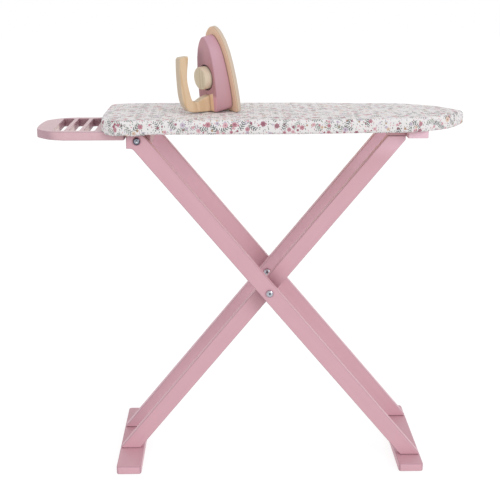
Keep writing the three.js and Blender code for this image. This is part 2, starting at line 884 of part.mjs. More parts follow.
function bolt(length) {
  const profile = [
    ...domeProfile(),
    [bolt_shank_radius, 0],
    [bolt_shank_radius, length],
    [0, length],
  ];
  return cut(turned(profile, bolt_facets), socket(-bolt_head_height));
}

// Sleeve nut: the same head with a hollow barrel
function sleeveNut() {
  const bore = bolt_shank_radius + fit_gap;
  const profile = [
    ...domeProfile(),
    [nut_barrel_radius, 0],
    [nut_barrel_radius, nut_barrel_length],
    [bore, nut_barrel_length],
    [bore, nut_wall],
    [0, nut_wall],
  ];
  return cut(turned(profile, bolt_facets), socket(-bolt_head_height));
}

const pivot_bolt_length = outer_face + fit_gap - inner_inside - nut_wall - fit_gap - bolt_tip_gap;
for (const [side, sign] of [["front", -1], ["back", 1]]) {
  const hinge_bolt = aimed(bolt(leg_thickness + hinge_bolt_reach), [0, -sign, 0]);
  hinge_bolt.translate(hinge_x, sign * (outer_face + fit_gap), hinge_z);
  add(`hinge_bolt_${side}`, hinge_bolt, steel);
  const pivot_bolt = aimed(bolt(pivot_bolt_length), [0, -sign, 0]);
  pivot_bolt.translate(pivot_x, sign * (outer_face + fit_gap), pivot_z);
  add(`pivot_bolt_${side}`, pivot_bolt, steel);
  const nut = aimed(sleeveNut(), [0, sign, 0]);
  nut.translate(pivot_x, sign * (inner_inside - fit_gap), pivot_z);
  add(`sleeve_nut_${side}`, nut, steel);
  const spacer_length = outer_inside - inner_face - 2 * fit_gap;
  const spacer = turned(
    [
      [bolt_bore, 0],
      [spacer_radius, 0],
      [spacer_radius, spacer_length],
      [bolt_bore, spacer_length],
      [bolt_bore, 0],
    ],
    bolt_facets,
  );
  aimed(spacer, [0, sign, 0]);
  spacer.translate(pivot_x, sign * (inner_face + fit_gap), pivot_z);
  add(`spacer_${side}`, geometryOf(solidOf(spacer)), pink_paint);
}

// Iron. Its own frame: x out from the sole towards the handle, y across, z from heel to tip.
function ironPlaced(geometry) {
  geometry.rotateY(lean);
  geometry.rotateZ(Math.PI + iron_turn * radians);
  geometry.translate(iron_x, iron_y, iron_base_z);
  return geometry;
}
// Heights above the board turn into the iron's own frame.
function leaned([out, height]) {
  return [
    out * Math.cos(lean) - height * Math.sin(lean),
    out * Math.sin(lean) + height * Math.cos(lean),
  ];
}
const iron_base_z = cover_shoulder + crown_rise + fit_gap;

// A symmetric outline across y, from heel to tip.
function ogive(from, length, width, lengths, widths) {
  const near = lengths.map((share, i) => [-(widths[i] * width) / 2, from + share * length]);
  const far = near.slice(0, -1).map(([y, z]) => [-y, z]).reverse();
  return [...near, ...far].reverse();
}

// An outline in y and z raised along x.
function raised(points, height, ease) {
  const geometry = prism(points, height, ease);
  const basis = new THREE.Matrix4().makeBasis(
    new THREE.Vector3(0, 1, 0),
    new THREE.Vector3(0, 0, 1),
    new THREE.Vector3(1, 0, 0),
  );
  geometry.applyMatrix4(basis);
  return geometry;
}

const sole = raised(
  ogive(0, sole_length, sole_width, sole_length_shares, sole_width_shares), sole_thickness, sole_ease);
sole.translate(-sole_thickness, 0, 0);
add("iron_sole", ironPlaced(geometryOf(solidOf(sole))), pale_wood);

// Body: the same outline, smaller, with a top that slopes down to the tip
function bodyTop(z) {
  const share = (z - iron_body_from_heel) / iron_body_length;
  return iron_body_heel_height + (iron_body_tip_height - iron_body_heel_height) * share;
}

function bodyLevel(inset, sink, base) {
  const from = iron_body_from_heel + inset;
  const length = iron_body_length - 2 * inset;
  const width = iron_body_width - 2 * inset - (base ? 0 : 2 * iron_body_taper);
  return ogive(from, length, width, sole_length_shares, body_width_shares).map(([y, z]) => [
    base ? sink : bodyTop(z) - sink,
    y,
    z,
  ]);
}

// Fans close the two ends of a stack of rings.
function stack(rings) {
  const ends = [rings[0], rings[rings.length - 1]].map((ring) => {
    const middle = ring.reduce((sum, p) => sum.map((v, k) => v + p[k] / ring.length), [0, 0, 0]);
    return ring.map(() => middle);
  });
  return skinOf([ends[0], ...rings, ends[1]], false);
}

const body_rings = [
  bodyLevel(iron_body_ease / 4, fit_gap, true),
  bodyLevel(0, fit_gap + iron_body_ease / 4, true),
];
for (let i = 0; i <= round_steps; i += 1) {
  const angle = (Math.PI / 2) * (i / round_steps);
  body_rings.push(
    bodyLevel(iron_body_ease * (1 - Math.cos(angle)), iron_body_ease * (1 - Math.sin(angle)), false),
  );
}

// The sloping top face of the body and a frame on it for the dial
const top_slope = Math.atan2(iron_body_heel_height - iron_body_tip_height, iron_body_length);
const dial_top_x = bodyTop(dial_from_heel);
const dial_axis = [Math.cos(top_slope), 0, Math.sin(top_slope)];
function onTopFace(geometry) {
  aimed(geometry, dial_axis);
  geometry.translate(dial_top_x, 0, dial_from_heel);
  return geometry;
}
const dial_well = onTopFace(rod(dial_radius + dial_gap, -dial_recess, dial_height, dial_facets));
const pin_hole = onTopFace(
  rod(dial_pin_radius + fit_gap, -dial_recess - dial_pin_depth - fit_gap, dial_height, screw_facets));

// Handle
function handleOutline() {
  const scaled = (across, up) => across.map((share, i) => [share * handle_span, up[i] * handle_height]);
  const root = handle_root * handle_span;
  const root_top = handle_in_height_shares[handle_in_height_shares.length - 1] * handle_height;
  const outer = smooth(scaled(handle_out_shares, handle_out_height_shares), handle_points);
  const inner = smooth(scaled(handle_in_shares, handle_in_height_shares), 2 * handle_points);
  const tip = scaled(handle_tip_shares, handle_tip_height_shares);
  const foot = handle_foot_share * handle_height;
  return [[root, foot], ...outer, ...tip, ...inner, [root, root_top]].map(leaned);
}

function asHandle(geometry) {
  geometry.rotateX(Math.PI / 2);
  geometry.translate(0, handle_width / 2, 0);
  return geometry;
}
const handle = asHandle(prism(handleOutline(), handle_width, handle_ease));
// The body's top face, thickened outwards, trims the handle to a close seat.
const seat_half = handle_height;
const seat = new THREE.BoxGeometry(seat_half * 2, seat_half, seat_half * 4);
seat.translate(-seat_half + fit_gap, 0, 0);
seat.rotateY(-top_slope);
seat.translate(dial_top_x, 0, dial_from_heel);

function dowelAt(height, grow) {
  const place = leaned([0, height]);
  const top = bodyTop(place[1]);
  const dowel_end = dowel_length - dowel_into_body;
  const dowel = rod(dowel_radius + grow, -dowel_into_body - grow, dowel_end + grow, screw_facets);
  aimed(dowel, dial_axis);
  dowel.translate(top, 0, place[1]);
  return dowel;
}
const dowel_heights = { lower: lower_dowel_height, upper: upper_dowel_height };
const dowel_places = Object.entries(dowel_heights).map(([which, height]) => [
  which,
  height + handle_root * handle_span * Math.sin(lean),
]);

add(
  "iron_body",
  ironPlaced(
    cut(
      geometryOf(solidOf(stack(body_rings))),
      dial_well,
      pin_hole,
      ...dowel_places.map(([, height]) => dowelAt(height, fit_gap)),
    ),
  ),
  pink_paint,
);
add(
  "iron_handle",
  ironPlaced(cut(handle, seat, ...dowel_places.map(([, height]) => dowelAt(height, fit_gap)))),
  plain_wood,
);
for (const [which, height] of dowel_places) {
  add(`handle_dowel_${which}`, ironPlaced(geometryOf(solidOf(dowelAt(height, 0)))), pale_wood);
}

// Dial and its pin
const dial_profile = [[0, 0], [dial_radius, 0]];
for (let i = 0; i <= round_steps; i += 1) {
  const angle = (Math.PI / 2) * (i / round_steps);
  dial_profile.push([
    dial_radius - dial_rim_round * (1 - Math.cos(angle)),
    dial_height - dial_rim_round * (1 - Math.sin(angle)),
  ]);
}
dial_profile.push([0, dial_height]);
const dial = turned(dial_profile, dial_facets);
dial.translate(0, 0, fit_gap - dial_recess);
const pin_end = dial_pin_engagement - dial_recess;
const pin_bore = rod(
  dial_pin_radius + fit_gap, -dial_recess - dial_rim_round, pin_end + 2 * fit_gap, screw_facets);
add("iron_dial", ironPlaced(onTopFace(cut(dial, pin_bore))), pale_wood);
const pin = rod(dial_pin_radius, -dial_recess - dial_pin_depth, pin_end, screw_facets);
add("dial_pin", ironPlaced(onTopFace(geometryOf(solidOf(pin)))), plain_wood);

export default group;
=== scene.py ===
import math

import bmesh
import bpy
import numpy as np
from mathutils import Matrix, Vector


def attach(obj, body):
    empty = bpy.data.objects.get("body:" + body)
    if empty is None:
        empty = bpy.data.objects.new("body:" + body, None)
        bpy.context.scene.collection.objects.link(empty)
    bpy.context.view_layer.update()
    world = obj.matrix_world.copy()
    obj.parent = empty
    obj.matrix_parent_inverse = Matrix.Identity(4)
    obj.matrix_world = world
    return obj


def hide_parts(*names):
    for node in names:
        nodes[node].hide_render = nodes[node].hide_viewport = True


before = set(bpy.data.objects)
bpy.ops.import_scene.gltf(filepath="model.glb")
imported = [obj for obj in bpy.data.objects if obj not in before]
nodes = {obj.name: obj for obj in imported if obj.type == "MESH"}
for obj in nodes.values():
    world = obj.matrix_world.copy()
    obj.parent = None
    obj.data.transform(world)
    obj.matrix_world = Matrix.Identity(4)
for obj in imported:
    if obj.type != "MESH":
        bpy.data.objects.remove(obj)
bpy.context.view_layer.update()

mm = 0.001

# Bolts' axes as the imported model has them, as (x, z), and the height round which the legs cross
hinge_place = (-156.2 * mm, 487.7 * mm)
pivot_place = (23.55 * mm, 269.65 * mm)
crossing_height = 269.6 * mm

# Camera: where it stands, how far it looks down and aside, and its lens in millimetres
camera_place = (-0.0305, -1.3263, 0.7250)
camera_down = 17.251
camera_aside = 1.195
lens_length = 68.195
sensor_width = 36


def make_camera():
    """The camera at the photograph's place."""
    data = bpy.data.cameras.new("camera")
    data.lens = lens_length
    data.sensor_width = sensor_width
    data.clip_start = 0.05
    data.clip_end = 50
    camera = bpy.data.objects.new("camera", data)
    camera.location = camera_place
    camera.rotation_euler = [math.radians(a) for a in (90 - camera_down, 0, -camera_aside)]
    bpy.context.scene.collection.objects.link(camera)
    bpy.context.scene.camera = camera


make_camera()


# Node graphs
class Shade:
    """One material and the nodes that feed its Principled shader."""

    def __init__(self, name):
        self.material = bpy.data.materials.new(name)
        self.material.use_nodes = True
        self.tree = self.material.node_tree
        self.shader = self.tree.nodes["Principled BSDF"]

    def feed(self, socket, value):
        if isinstance(value, bpy.types.NodeSocket):
            self.tree.links.new(value, socket)
        else:
            socket.default_value = value

    def node(self, kind, inputs=None, **settings):
        made = self.tree.nodes.new(kind)
        for key, value in settings.items():
            setattr(made, key, value)
        for key, value in (inputs or {}).items():
            self.feed(made.inputs[key], value)
        return made

    def math(self, operation, *values, clamp=False):
        made = self.node("ShaderNodeMath", operation=operation, use_clamp=clamp)
        for socket, value in zip(made.inputs, values):
            self.feed(socket, value)
        return made.outputs[0]

    def times(self, a, b):
        return self.math("MULTIPLY", a, b)

    def plus(self, a, b):
        return self.math("ADD", a, b)

    def minus(self, a, b):
        return self.math("SUBTRACT", a, b)

    def squares(self, x, y):
        """The sum of two squares."""
        return self.plus(self.times(x, x), self.times(y, y))

    def vector(self, operation, *values):
        made = self.node("ShaderNodeVectorMath", operation=operation)
        for socket, value in zip(made.inputs, values):
            self.feed(socket, value)
        dotted = operation in ("DOT_PRODUCT", "LENGTH")
        return made.outputs["Value" if dotted else "Vector"]

    def joined(self, x, y, z=0.0):
        return self.node("ShaderNodeCombineXYZ", {"X": x, "Y": y, "Z": z}).outputs[0]

    def parts(self, vector):
        return self.node("ShaderNodeSeparateXYZ", {"Vector": vector}).outputs

    def mix(self, factor, a, b):
        made = self.node("ShaderNodeMix", data_type="RGBA")
        for index, value in ((0, factor), (6, a), (7, b)):
            self.feed(made.inputs[index], value)
        return made.outputs[2]

    def step(self, value, low, high):
        """0 below low, 1 above high, smooth between; low may be the larger."""
        made = self.node("ShaderNodeMapRange", {"Value": value}, interpolation_type="SMOOTHSTEP")
        flip = low > high
        made.inputs["From Min"].default_value = min(low, high)
        made.inputs["From Max"].default_value = max(low, high)
        made.inputs["To Min"].default_value = 1.0 if flip else 0.0
        made.inputs["To Max"].default_value = 0.0 if flip else 1.0
        return made.outputs["Result"]

    def noise(self, vector, scale, detail=3.0, roughness=0.55):
        made = self.node("ShaderNodeTexNoise", {"Vector": vector, "Scale": scale})
        made.inputs["Detail"].default_value = detail
        made.inputs["Roughness"].default_value = roughness
        return made.outputs["Fac"]

    def place(self):
        """The place in the piece's own frame, which is the world's at rest."""
        return self.node("ShaderNodeTexCoord").outputs["Object"]

    def height(self):
        return self.parts(self.place())[2]

    def normal(self):
        """The surface's direction in the piece's own frame, so that tints move with the piece."""
        return self.node("ShaderNodeTexCoord").outputs["Normal"]

    def facing(self, direction, low, high):
        """0 to 1 as the surface turns towards a direction of the piece's own frame."""
        return self.step(self.vector("DOT_PRODUCT", self.normal(), tuple(direction)), low, high)

    def hollow(self, distance):
        """How closed in a point is: 0 in the open, 1 deep in a gap."""
        made = self.node("ShaderNodeAmbientOcclusion", samples=6)
        made.inputs["Distance"].default_value = distance
        return self.minus(1.0, made.outputs["AO"])

    def bump(self, height, distance, strength=1.0):
        made = self.node("ShaderNodeBump", {"Height": height})
        made.inputs["Distance"].default_value = distance
        made.inputs["Strength"].default_value = strength
        self.feed(self.shader.inputs["Normal"], made.outputs["Normal"])

    def ramp(self, value, stops, constant=False):
        made = self.node("ShaderNodeValToRGB", {"Fac": value})
        band = made.color_ramp
        band.interpolation = "CONSTANT" if constant else "LINEAR"
        while len(band.elements) < len(stops):
            band.elements.new(1.0)
        for element, (at, colour) in zip(band.elements, stops):
            element.position = at
            element.color = colour
        return made.outputs["Color"]


def linear(red, green, blue):
    """A colour of a screen, 0 to 255, as the shader's linear colour."""
    def one(value):
        share = value / 255
        return share / 12.92 if share <= 0.04045 else ((share + 0.055) / 1.055) ** 2.4

    return (one(red), one(green), one(blue), 1.0)


def across(direction):
    """The unit vector of a direction, and two more that are square to it and to each other."""
    along = Vector(direction).normalized()
    side = along.orthogonal().normalized()
    return along, side, along.cross(side)


def grain_place(shade, direction, stretch):
    """Coordinates stretched along a grain direction: across, across, along / stretch."""
    along, side, other = across(direction)
    place = shade.place()
    return shade.joined(
        shade.vector("DOT_PRODUCT", place, tuple(side)),
        shade.vector("DOT_PRODUCT", place, tuple(other)),
        shade.math("DIVIDE", shade.vector("DOT_PRODUCT", place, tuple(along)), stretch),
    )


paint_colour = linear(223, 177, 188)
# Painted shade: the colour that greys the round-over edges
painted_edge_shade = linear(150, 114, 134)
paint_deep = linear(206, 155, 168)
# Painted shade: the colour of the shade in gaps and closed-in places
painted_shade_colour = linear(92, 28, 50)


def rounded_edges(shade, direction):
    """1 on the round-overs between the flat faces of a board that lies along a direction."""
    along = Vector(direction).normalized()
    depth = Vector((0, 1, 0))
    other = Vector((1, 0, 0)) if abs(along.y) > 0.9 else along
    normal = shade.normal()
    flat = 0.0
    for axis in (other, depth, other.cross(depth)):
        faced = shade.math("ABSOLUTE", shade.vector("DOT_PRODUCT", normal, tuple(axis)))
        flat = shade.math("MAXIMUM", flat, faced)
    return shade.step(flat, 0.985, 0.86)


def painted(
    name, direction, colour=paint_colour, shape=None, gap=20 * mm, closed=(0.3, 0.95), depth=0.45,
    inside=None, edges=0.5,
):
    """Matt lacquer over sanded wood: faint grain, soft clouding, and painted shade that greys the round-over
    edges.

    shape tints the coat by place, mostly with painted light and shade. Close to other surfaces, within gap,
    painted shade darkens the coat: by depth at most, as the closed-in share of the view grows through closed,
    and only where the mask inside is 1.
    """
    shade = Shade(name)
    place = shade.place()
    grain = grain_place(shade, direction, 22)
    fibre = shade.noise(grain, 1400, 4.0)
    broad = shade.noise(grain, 160, 3.0)
    cloud = shade.noise(place, 24, 2.0)
    tone = shade.plus(shade.times(broad, 0.6), shade.times(cloud, 0.4))
    coloured = shade.mix(shade.step(tone, 0.2, 0.8), paint_deep, colour)
    coloured = shade.mix(0.72, coloured, colour)
    if shape:
        coloured = shape(shade, coloured)
    # Painted shade greys the round-over edges, unevenly; edges sets how much
    if edges:
        uneven = shade.math("MULTIPLY_ADD", shade.noise(place, 90), 0.6, 0.5, clamp=True)
        round_over_shade = shade.times(shade.times(rounded_edges(shade, direction), uneven), edges)
        coloured = shade.mix(round_over_shade, coloured, painted_edge_shade)
    # Painted shade where other surfaces close the point in
    closed_in_shade = shade.step(shade.hollow(gap), *closed)
    if inside:
        closed_in_shade = shade.times(closed_in_shade, inside(shade))
    coloured = shade.mix(shade.times(closed_in_shade, depth), coloured, painted_shade_colour)
    shade.feed(shade.shader.inputs["Base Color"], coloured)
    rough = shade.math("MULTIPLY_ADD", fibre, 0.12, 0.4)
    shade.feed(shade.shader.inputs["Roughness"], rough)
    shade.shader.inputs["Specular IOR Level"].default_value = 0.5
    height = shade.math("MULTIPLY_ADD", broad, 0.6, shade.times(fibre, 0.4))
    shade.bump(height, 0.12 * mm, 0.6)
    return shade.material


# Heights between which painted light makes a leg paler towards its head
outer_painted_light = (330 * mm, 480 * mm)
inner_painted_light = (405 * mm, 480 * mm)
inner_end_painted_light = (452 * mm, 488 * mm)


def back_painted_light(shade, coloured):
    """Painted light: the back one of the outer legs is paler towards its head."""
    return shade.mix(shade.step(shade.height(), *outer_painted_light), coloured, linear(243, 199, 216))


def head_painted_light(shade, coloured):
    """Painted light: the heads of the inner legs are paler close under the deck, the back leg from further
    down.
    """
    y, height = shade.parts(shade.place())[1:3]
    high = shade.step(height, *inner_painted_light)
    end = shade.times(shade.step(height, *inner_end_painted_light), 0.7)
    amount = shade.math("MAXIMUM", end, shade.times(high, shade.math("GREATER_THAN", y, 0.0)))
    return shade.mix(amount, coloured, linear(255, 216, 234))


def feet_painted_shade(shade, coloured):
    """Painted shade: the tops of the feet are deeper than their sides."""
    up = shade.facing((0, 0, 1), 0.7, 0.9)
    return shade.mix(0.25, shade.mix(up, linear(222, 176, 188), linear(205, 160, 171)), coloured)


def at_crossing(shade):
    """1 where the legs cross, 0 towards their ends."""
    away = shade.math("ABSOLUTE", shade.minus(shade.height(), crossing_height))
    return shade.step(away, 80 * mm, 30 * mm)


# Half the depth of the stretch with the slots, and the height just under the rest's top face
slots_half = 56 * mm
under_rest_top = 499 * mm


def among_slots(shade, y):
    """1 in the stretch of the rest's depth that has the slots."""
    return shade.math("LESS_THAN", shade.math("ABSOLUTE", y), slots_half)


def lit_walls(shade, y):
    """1 on the front half of the slot walls that face right."""
    return shade.times(shade.facing((1, 0, 0), 0.6, 0.9), shade.step(y, 14 * mm, -10 * mm))


def rest_painted_light(shade, coloured):
    """Painted reflection greys the rest's top; painted light makes the lit slot walls pale."""
    y = shade.parts(shade.place())[1]
    top_reflection = shade.times(shade.facing((0, 0, 1), 0.8, 0.95), 0.6)
    coloured = shade.mix(top_reflection, coloured, linear(212, 186, 190))
    pale = shade.times(lit_walls(shade, y), among_slots(shade, y))
    return shade.mix(pale, coloured, linear(255, 236, 232))


def within_slots(shade):
    """1 on the slot walls that get painted shade, 0 on the rest's outside and on the lit walls."""
    y, z = shade.parts(shade.place())[1:3]
    below = shade.math("LESS_THAN", z, under_rest_top)
    dark = shade.minus(1.0, shade.times(lit_walls(shade, y), 0.95))
    return shade.times(shade.times(among_slots(shade, y), below), dark)


# Painted shade: the colour of bare wood in narrow gaps
painted_wood_shade = linear(84, 58, 44)


def bare_wood(name, direction, light, dark, pith, ring=2.4, shape=None):
    """Sanded wood: growth rings round a pith line, fibres and short pores along the grain, and painted shade
    in narrow gaps.
    """
    shade = Shade(name)
    grain = grain_place(shade, direction, 14)
    x, y = shade.parts(grain)[:2]
    wander = shade.noise(grain, 40, 2.0)
    reach = shade.math("SQRT", shade.squares(shade.minus(x, pith[0]), shade.minus(y, pith[1])))
    bent = shade.math("MULTIPLY_ADD", wander, 9 * mm, reach)
    wave = shade.math("SINE", shade.times(bent, 2 * math.pi / (ring * mm)))
    rings = shade.step(wave, -0.9, 1.0)
    fibre = shade.noise(grain, 1800, 4.0, 0.7)
    pores = shade.step(shade.noise(grain, 900, 2.0), 0.66, 0.74)
    tone = shade.math("MULTIPLY_ADD", fibre, 0.5, shade.times(rings, 0.45))
    coloured = shade.mix(tone, light, dark)
    pore_colour = [value * 0.6 for value in dark[:3]] + [1]
    coloured = shade.mix(shade.times(pores, 0.35), coloured, pore_colour)
    if shape:
        coloured = shape(shade, coloured)
    # Painted shade in narrow gaps
    closed_in_shade = shade.step(shade.hollow(3 * mm), 0.5, 1.0)
    coloured = shade.mix(shade.times(closed_in_shade, 0.7), coloured, painted_wood_shade)
    shade.feed(shade.shader.inputs["Base Color"], coloured)
    shade.feed(shade.shader.inputs["Roughness"], shade.math("MULTIPLY_ADD", fibre, 0.15, 0.5))
    shade.shader.inputs["Specular IOR Level"].default_value = 0.3
    shade.bump(shade.math("MULTIPLY_ADD", rings, 0.3, fibre), 0.1 * mm, 0.5)
    return shade.material


bolt_head_radius = 5.5 * mm


def bolt_rings(shade, place, centre, coloured, strong, painted_dark_share):
    """Turning marks round a bolt's axis, and painted reflections: a hexagon socket dark above with a glint
    below, a dark dome and a pale pink rim.
    """
    sides = shade.parts(place)
    dx, dz = shade.minus(sides["X"], centre[0]), shade.minus(sides["Z"], centre[1])
    reach = shade.math("SQRT", shade.squares(dx, dz))
    turned = shade.math("SINE", shade.times(reach, 2 * math.pi / (0.25 * mm)))
    # Painted reflections: a dark ring on the dome, and a pale pink rim that mirrors the legs
    dark = shade.step(reach, 0.46 * bolt_head_radius, 0.7 * bolt_head_radius)
    coloured = shade.mix(shade.times(dark, painted_dark_share), coloured, linear(40, 42, 52))
    rim_reflection = shade.step(reach, 0.78 * bolt_head_radius, 0.9 * bolt_head_radius)
    coloured = shade.mix(shade.times(rim_reflection, 0.75), coloured, linear(196, 158, 172))
    # Painted glint: the socket is dark above and bright below
    socket = shade.step(reach, 0.34 * bolt_head_radius, 0.26 * bolt_head_radius)
    socket_glint = shade.step(dz, 0.05 * bolt_head_radius, -0.12 * bolt_head_radius)
    bright = linear(246, 248, 250) if strong else linear(96, 98, 104)
    inside = shade.mix(socket_glint, linear(30, 32, 38), bright)
    return turned, shade.mix(shade.times(socket, 0.9), coloured, inside)


def steel(name, centre=None, strong=True, painted_dark_share=0.94):
    """Nickelled steel with fine turning marks and, round a centre, painted reflections; a strong one has more
    contrast and a bright painted glint, and the last argument sets how dark the painted dome is.
    """
    shade = Shade(name)
    place = shade.place()
    mottled = shade.noise(place, 700, 3.0)
    bright, dull = linear(214, 218, 226), linear(120, 124, 136)
    if strong:
        bright, dull = linear(172, 176, 188), linear(98, 102, 116)
    coloured = shade.mix(shade.times(mottled, 0.5), bright, dull)
    height = shade.noise(place, 2500, 2.0)
    if centre:
        turned, coloured = bolt_rings(shade, place, centre, coloured, strong, painted_dark_share)
        height = shade.math("MULTIPLY_ADD", turned, 0.3, height)
    shade.feed(shade.shader.inputs["Base Color"], coloured)
    shade.shader.inputs["Metallic"].default_value = 1.0
    shade.feed(shade.shader.inputs["Roughness"], shade.math("MULTIPLY_ADD", mottled, 0.2, 0.16))
    shade.bump(height, 0.02 * mm, 0.4)
    return shade.material


def foam(name):
    """Cream foam with fine cells."""
    shade = Shade(name)
    place = shade.place()
    cells = shade.node("ShaderNodeTexVoronoi", {"Vector": place, "Scale": 900.0}).outputs["Distance"]
    cloud = shade.noise(place, 60)
    coloured = shade.mix(cloud, linear(236, 230, 208), linear(222, 213, 186))
    coloured = shade.mix(shade.times(cells, 0.4), coloured, linear(186, 176, 150))
    shade.feed(shade.shader.inputs["Base Color"], coloured)
    shade.feed(shade.shader.inputs["Roughness"], shade.math("MULTIPLY_ADD", cells, 0.1, 0.86))
    shade.bump(cells, 0.3 * mm, 0.7)
    return shade.material


# Printed cotton: flowers, leaf sprays, short leaves and dots scattered on the flat cut
rose = linear(198, 130, 146)
berry = linear(166, 98, 118)
wine = linear(112, 52, 76)
blush = linear(228, 178, 188)
lilac = linear(206, 194, 212)
apricot = linear(230, 200, 178)
ochre = linear(184, 152, 122)
sage = linear(146, 156, 148)
slate = linear(96, 106, 104)
pewter = linear(176, 170, 180)
ground = linear(244, 242, 242)


def scattered(shade, place, spacing, shift):
    """The nearest of scattered points: the offset from it, and three random values of its own."""
    moved = shade.vector("ADD", place, (shift[0], shift[1], 0.0))
    cells = shade.node("ShaderNodeTexVoronoi", {"Vector": moved, "Scale": 1 / spacing})
    cells.voronoi_dimensions = "2D"
    cells.inputs["Randomness"].default_value = 0.72
    offset = shade.vector("SUBTRACT", moved, cells.outputs["Position"])
    return offset, shade.node("ShaderNodeSeparateColor", {"Color": cells.outputs["Color"]}).outputs


def drawn(shade, chance, colours, share):
    """1 at a share of the scattered points, and the colour that falls to each of them."""
    present = shade.math("LESS_THAN", chance[0], share)
    return present, shade.ramp(shade.math("DIVIDE", chance[0], share), colours, constant=True)


def turned_by(shade, offset, share):
    """The x and y of an offset, turned by a share of a full turn."""
    x, y = shade.parts(offset)[:2]
    angle = shade.times(share, 2 * math.pi)
    c, s = shade.math("COSINE", angle), shade.math("SINE", angle)
    u = shade.plus(shade.times(x, c), shade.times(y, s))
    v = shade.minus(shade.times(y, c), shade.times(x, s))
    return u, v


# How far out the middles of a flower's petals lie, as a share of its radius
petal_ring = 0.6


def blossoms(shade, place, base, spacing, shift, radius, petals, colours, share):
    """Open flowers: round petals in a ring, a darker heart."""
    offset, chance = scattered(shade, place, spacing, shift)
    size = shade.math("MULTIPLY_ADD", chance[1], 0.35 * radius, 0.75 * radius)
    u, v = turned_by(shade, offset, chance[2])
    slice_angle = 2 * math.pi / petals
    angle = shade.plus(shade.math("ARCTAN2", v, u), 2 * math.pi)
    angle = shade.minus(shade.math("MODULO", angle, slice_angle), slice_angle / 2)
    reach = shade.math("DIVIDE", shade.vector("LENGTH", offset), size)
    along = shade.minus(shade.times(reach, shade.math("COSINE", angle)), petal_ring)
    aside = shade.times(reach, shade.math("SINE", angle))
    away = shade.math("SQRT", shade.squares(along, aside))
    petal = 1.06 * petal_ring * math.sin(slice_angle / 2)
    inside = shade.step(away, 1.1 * petal, 0.9 * petal)
    present, colour = drawn(shade, chance, colours, share)
    pale = shade.mix(shade.step(reach, 0.5, 1.0), colour, shade.mix(0.3, colour, ground))
    covered = shade.mix(shade.times(inside, present), base, pale)
    heart = shade.times(shade.step(reach, 0.34, 0.24), present)
    return shade.mix(heart, covered, shade.mix(0.5, colour, wine))


def sprays(shade, place, base, spacing, shift, length, colours, share):
    """A stem with slanting leaves in pairs."""
    offset, chance = scattered(shade, place, spacing, shift)
    u, v = turned_by(shade, offset, chance[2])
    bow = shade.times(shade.times(u, u), 0.35 / length)
    v = shade.minus(v, bow)
    away = shade.math("ABSOLUTE", v)
    pitch = length / 4.2
    slid = shade.minus(u, shade.times(away, 0.85))
    slid = shade.math("MODULO", shade.plus(slid, 20 * pitch), pitch)
    cell = shade.minus(slid, pitch / 2)
    long_part = shade.math("DIVIDE", shade.minus(away, 0.22 * length / 2), 0.15 * length)
    thin_part = shade.math("DIVIDE", cell, 0.25 * pitch)
    leaf = shade.step(shade.squares(long_part, thin_part), 1.15, 0.85)
    stem = shade.step(away, 0.2 * mm, 0.1 * mm)
    within = shade.step(shade.math("ABSOLUTE", u), 0.5 * length, 0.46 * length)
    present, colour = drawn(shade, chance, colours, share)
    shape = shade.times(shade.math("MAXIMUM", leaf, stem), shade.times(within, present))
    return shade.mix(shape, base, colour)


def leaflets(shade, place, base, spacing, shift, length, width, colours, share):
    """Single short leaves lying every way."""
    offset, chance = scattered(shade, place, spacing, shift)
    u, v = turned_by(shade, offset, chance[2])
    u, v = shade.math("DIVIDE", u, length / 2), shade.math("DIVIDE", v, width / 2)
    leaf = shade.step(shade.squares(u, v), 1.25, 0.75)
    present, colour = drawn(shade, chance, colours, share)
    return shade.mix(shade.times(leaf, present), base, colour)


def dots(shade, place, base, spacing, shift, radius, colours, share):
    """Round dots of several sizes."""
    offset, chance = scattered(shade, place, spacing, shift)
    size = shade.math("MULTIPLY_ADD", chance[1], 0.6 * radius, 0.5 * radius)
    past = shade.minus(shade.vector("LENGTH", offset), size)
    inside = shade.step(past, 0.08 * mm, -0.08 * mm)
    present, colour = drawn(shade, chance, colours, share)
    return shade.mix(shade.times(inside, present), base, colour)


def hem_stitch(shade, hem):
    """1 on the dashes of the seam that runs along the hem's edge."""
    along, inward = shade.parts(hem)[:2]
    dash = shade.step(shade.math("MODULO", along, 3.2 * mm), 2.2 * mm, 2.0 * mm)
    aside = shade.math("ABSOLUTE", shade.minus(inward, 2.2 * mm))
    return shade.times(dash, shade.step(aside, 0.4 * mm, 0.28 * mm))


